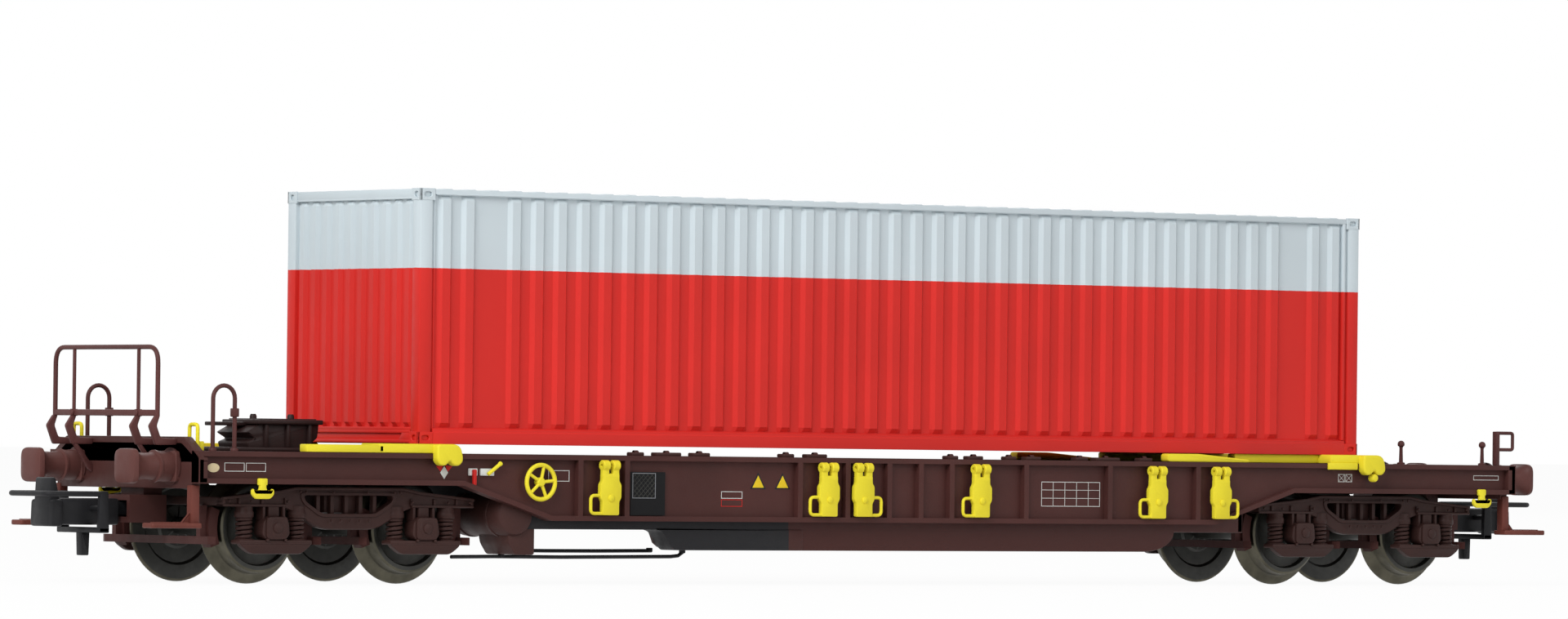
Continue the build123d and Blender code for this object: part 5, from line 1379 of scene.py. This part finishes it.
def right_headstock():
    """The right end beam: a plate with rounded edges and rims round the buffers."""
    low, high = span("headstock_right")
    x, back, top = high[0], low[0], high[2]
    plate = rounded_box((back, -DECK_HALF, low[2]), (x, DECK_HALF, top), 0.14)
    corners = [rounded_box((back, side * 14.2, 11.5), (x, side * SILL_OUTSIDE, top), 0.12)
               for side in (-1, 1)]
    rims = [turned([(2.15, -0.1), (2.15, 0.18), (1.95, 0.25), (1.7, 0.25)], (x, y, BUFFER_CENTRE), "x", 32)
            for y in (-BUFFER_SPREAD, BUFFER_SPREAD)]
    put("plain_headstock", "wagon", [("brown", join([plate, *corners, *rims]))],
        ["headstock_right"])


def sill_lugs():
    """Low folded-down holders along the top of the near sill, each a rounded block with a turned pin."""
    top = span("sill_near")[1][2]
    blocks = [rounded_box((low, -14.9, top - 0.05), (high, -13.7, top + 0.42), 0.14) for low,
              high in SILL_LUGS]
    pin = turned([(0.3, -0.3), (0.3, 0.3), (0, 0.34)], (0, -14.3, top + 0.34), "x", 12)
    pins = copies(pin, [((low + high) / 2, 0, 0) for low, high in SILL_LUGS])
    put("sill_lugs", "wagon", [("dark_brown", join([*blocks, pins]))])


for name, node in frame["nodes"].items():
    if node.material_slots:
        node.material_slots[0].material = finish_of(name)
    else:
        node.data.materials.append(finish_of(name))


for side in BOGIES:
    axles = [wheelset(side, place) for place in ("outer", "inner")]
    side_frames(side)
    axlebox_castings(side, axles)
    bogie_fittings(side, axles)
    buffer(side)
    coupler(side)
    deck_steps(side)
for make in (railing, handrails, handwheel, rope_hooks, stop_brackets, spigot_arms, end_spigots, lever_posts,
             changeover_levers, trestle, left_headstock, right_headstock, trough, brake_gear, sill_lugs,
             mesh_panel, sill_signs, container_sides, container_top, container_front,
             container_ends, door_gear):
    make()


def set_camera():
    """The camera on its line of sight: back from the target by the distance, rolled about that line."""
    forward = Vector((
        np.sin(VIEW_AZIMUTH) * np.cos(VIEW_ELEVATION), np.cos(VIEW_AZIMUTH) * np.cos(VIEW_ELEVATION),
        -np.sin(VIEW_ELEVATION)))
    level = Vector((np.cos(VIEW_AZIMUTH), -np.sin(VIEW_AZIMUTH), 0))
    upward = level.cross(forward)
    right = level * np.cos(VIEW_ROLL) + upward * np.sin(VIEW_ROLL)
    top = right.cross(forward)
    turn = Matrix((right, top, -forward)).transposed().to_4x4()
    place = Vector(VIEW_TARGET) - forward * VIEW_DISTANCE
    data = bpy.data.cameras.new("camera")
    data.lens, data.sensor_width = LENS, SENSOR
    data.clip_start, data.clip_end = 0.01, 100
    camera = bpy.data.objects.new("camera", data)
    camera.matrix_world = Matrix.Translation(place) @ turn
    bpy.context.scene.collection.objects.link(camera)
    bpy.context.scene.camera = camera


def soft_lamp(name, place, size, watts):
    """A square lamp that looks at the middle of the wagon."""
    data = bpy.data.lights.new(name, "AREA")
    data.shape, data.size, data.energy = "SQUARE", size, watts
    lamp = bpy.data.objects.new(name, data)
    aim = Vector((0, 0, 0.025)) - Vector(place)
    lamp.matrix_world = Matrix.Translation(place) @ aim.to_track_quat("-Z", "Y").to_matrix().to_4x4()
    bpy.context.scene.collection.objects.link(lamp)


def pale_for_the_eye(tree, shader, share):
    """The camera and mirrors see a share of plain white; the light itself comes from the shader."""
    path = tree.nodes.new("ShaderNodeLightPath")

    def combined(operation, first, second):
        """Two sockets or numbers put together by one operation."""
        node = tree.nodes.new("ShaderNodeMath")
        node.operation = operation
        for socket, value in zip(node.inputs, (first, second)):
            if isinstance(value, float):
                socket.default_value = value
            else:
                tree.links.new(value, socket)
        return node.outputs[0]

    mirrored = combined("MAXIMUM", path.outputs["Is Glossy Ray"], path.outputs["Is Transmission Ray"])
    amount = combined("MULTIPLY", combined("MAXIMUM", path.outputs["Is Camera Ray"], mirrored), share)
    plain = tree.nodes.new("ShaderNodeEmission" if shader.type != "BACKGROUND" else "ShaderNodeBackground")
    plain.inputs["Color"].default_value = PLAIN_WHITE
    plain.inputs["Strength"].default_value = 1.0
    both = tree.nodes.new("ShaderNodeMixShader")
    for socket, value in zip(both.inputs, (amount, shader.outputs[0], plain.outputs[0])):
        tree.links.new(value, socket)
    return both.outputs[0]

def set_world(light):
    """Even white light from all round, seen by the camera as plain white."""
    world = bpy.data.worlds.new("studio")
    world.use_nodes = True
    tree = world.node_tree
    sky = tree.nodes["Background"]
    sky.inputs["Color"].default_value = PLAIN_WHITE
    sky.inputs["Strength"].default_value = light
    out = tree.nodes["World Output"]
    tree.links.new(pale_for_the_eye(tree, sky, 1.0), out.inputs["Surface"])
    bpy.context.scene.world = world


def lay_floor():
    """A plain pale floor under the wheels, wide enough to reach the horizon."""
    reach = 30.0
    mesh = bpy.data.meshes.new("floor")
    corners = np.array([[-1, -1, 0], [1, -1, 0], [1, 1, 0], [-1, 1, 0]]) * reach
    mesh.from_pydata(corners.tolist(), [], [(0, 1, 2, 3)])
    floor = bpy.data.objects.new("floor", mesh)
    bpy.context.scene.collection.objects.link(floor)
    n = Nodes("pale floor")
    n.finish(linear(FLOOR), 0.9, specular=0.0)
    out = n.tree.nodes["Material Output"]
    n.link(pale_for_the_eye(n.tree, n.shader, EYE_SHARE), out.inputs["Surface"])
    mesh.materials.append(n.material)


set_camera()
set_world(WORLD_LIGHT)
for lamp in LAMPS:
    soft_lamp(*lamp)
lay_floor()
bpy.context.scene.view_settings.view_transform = "Standard"
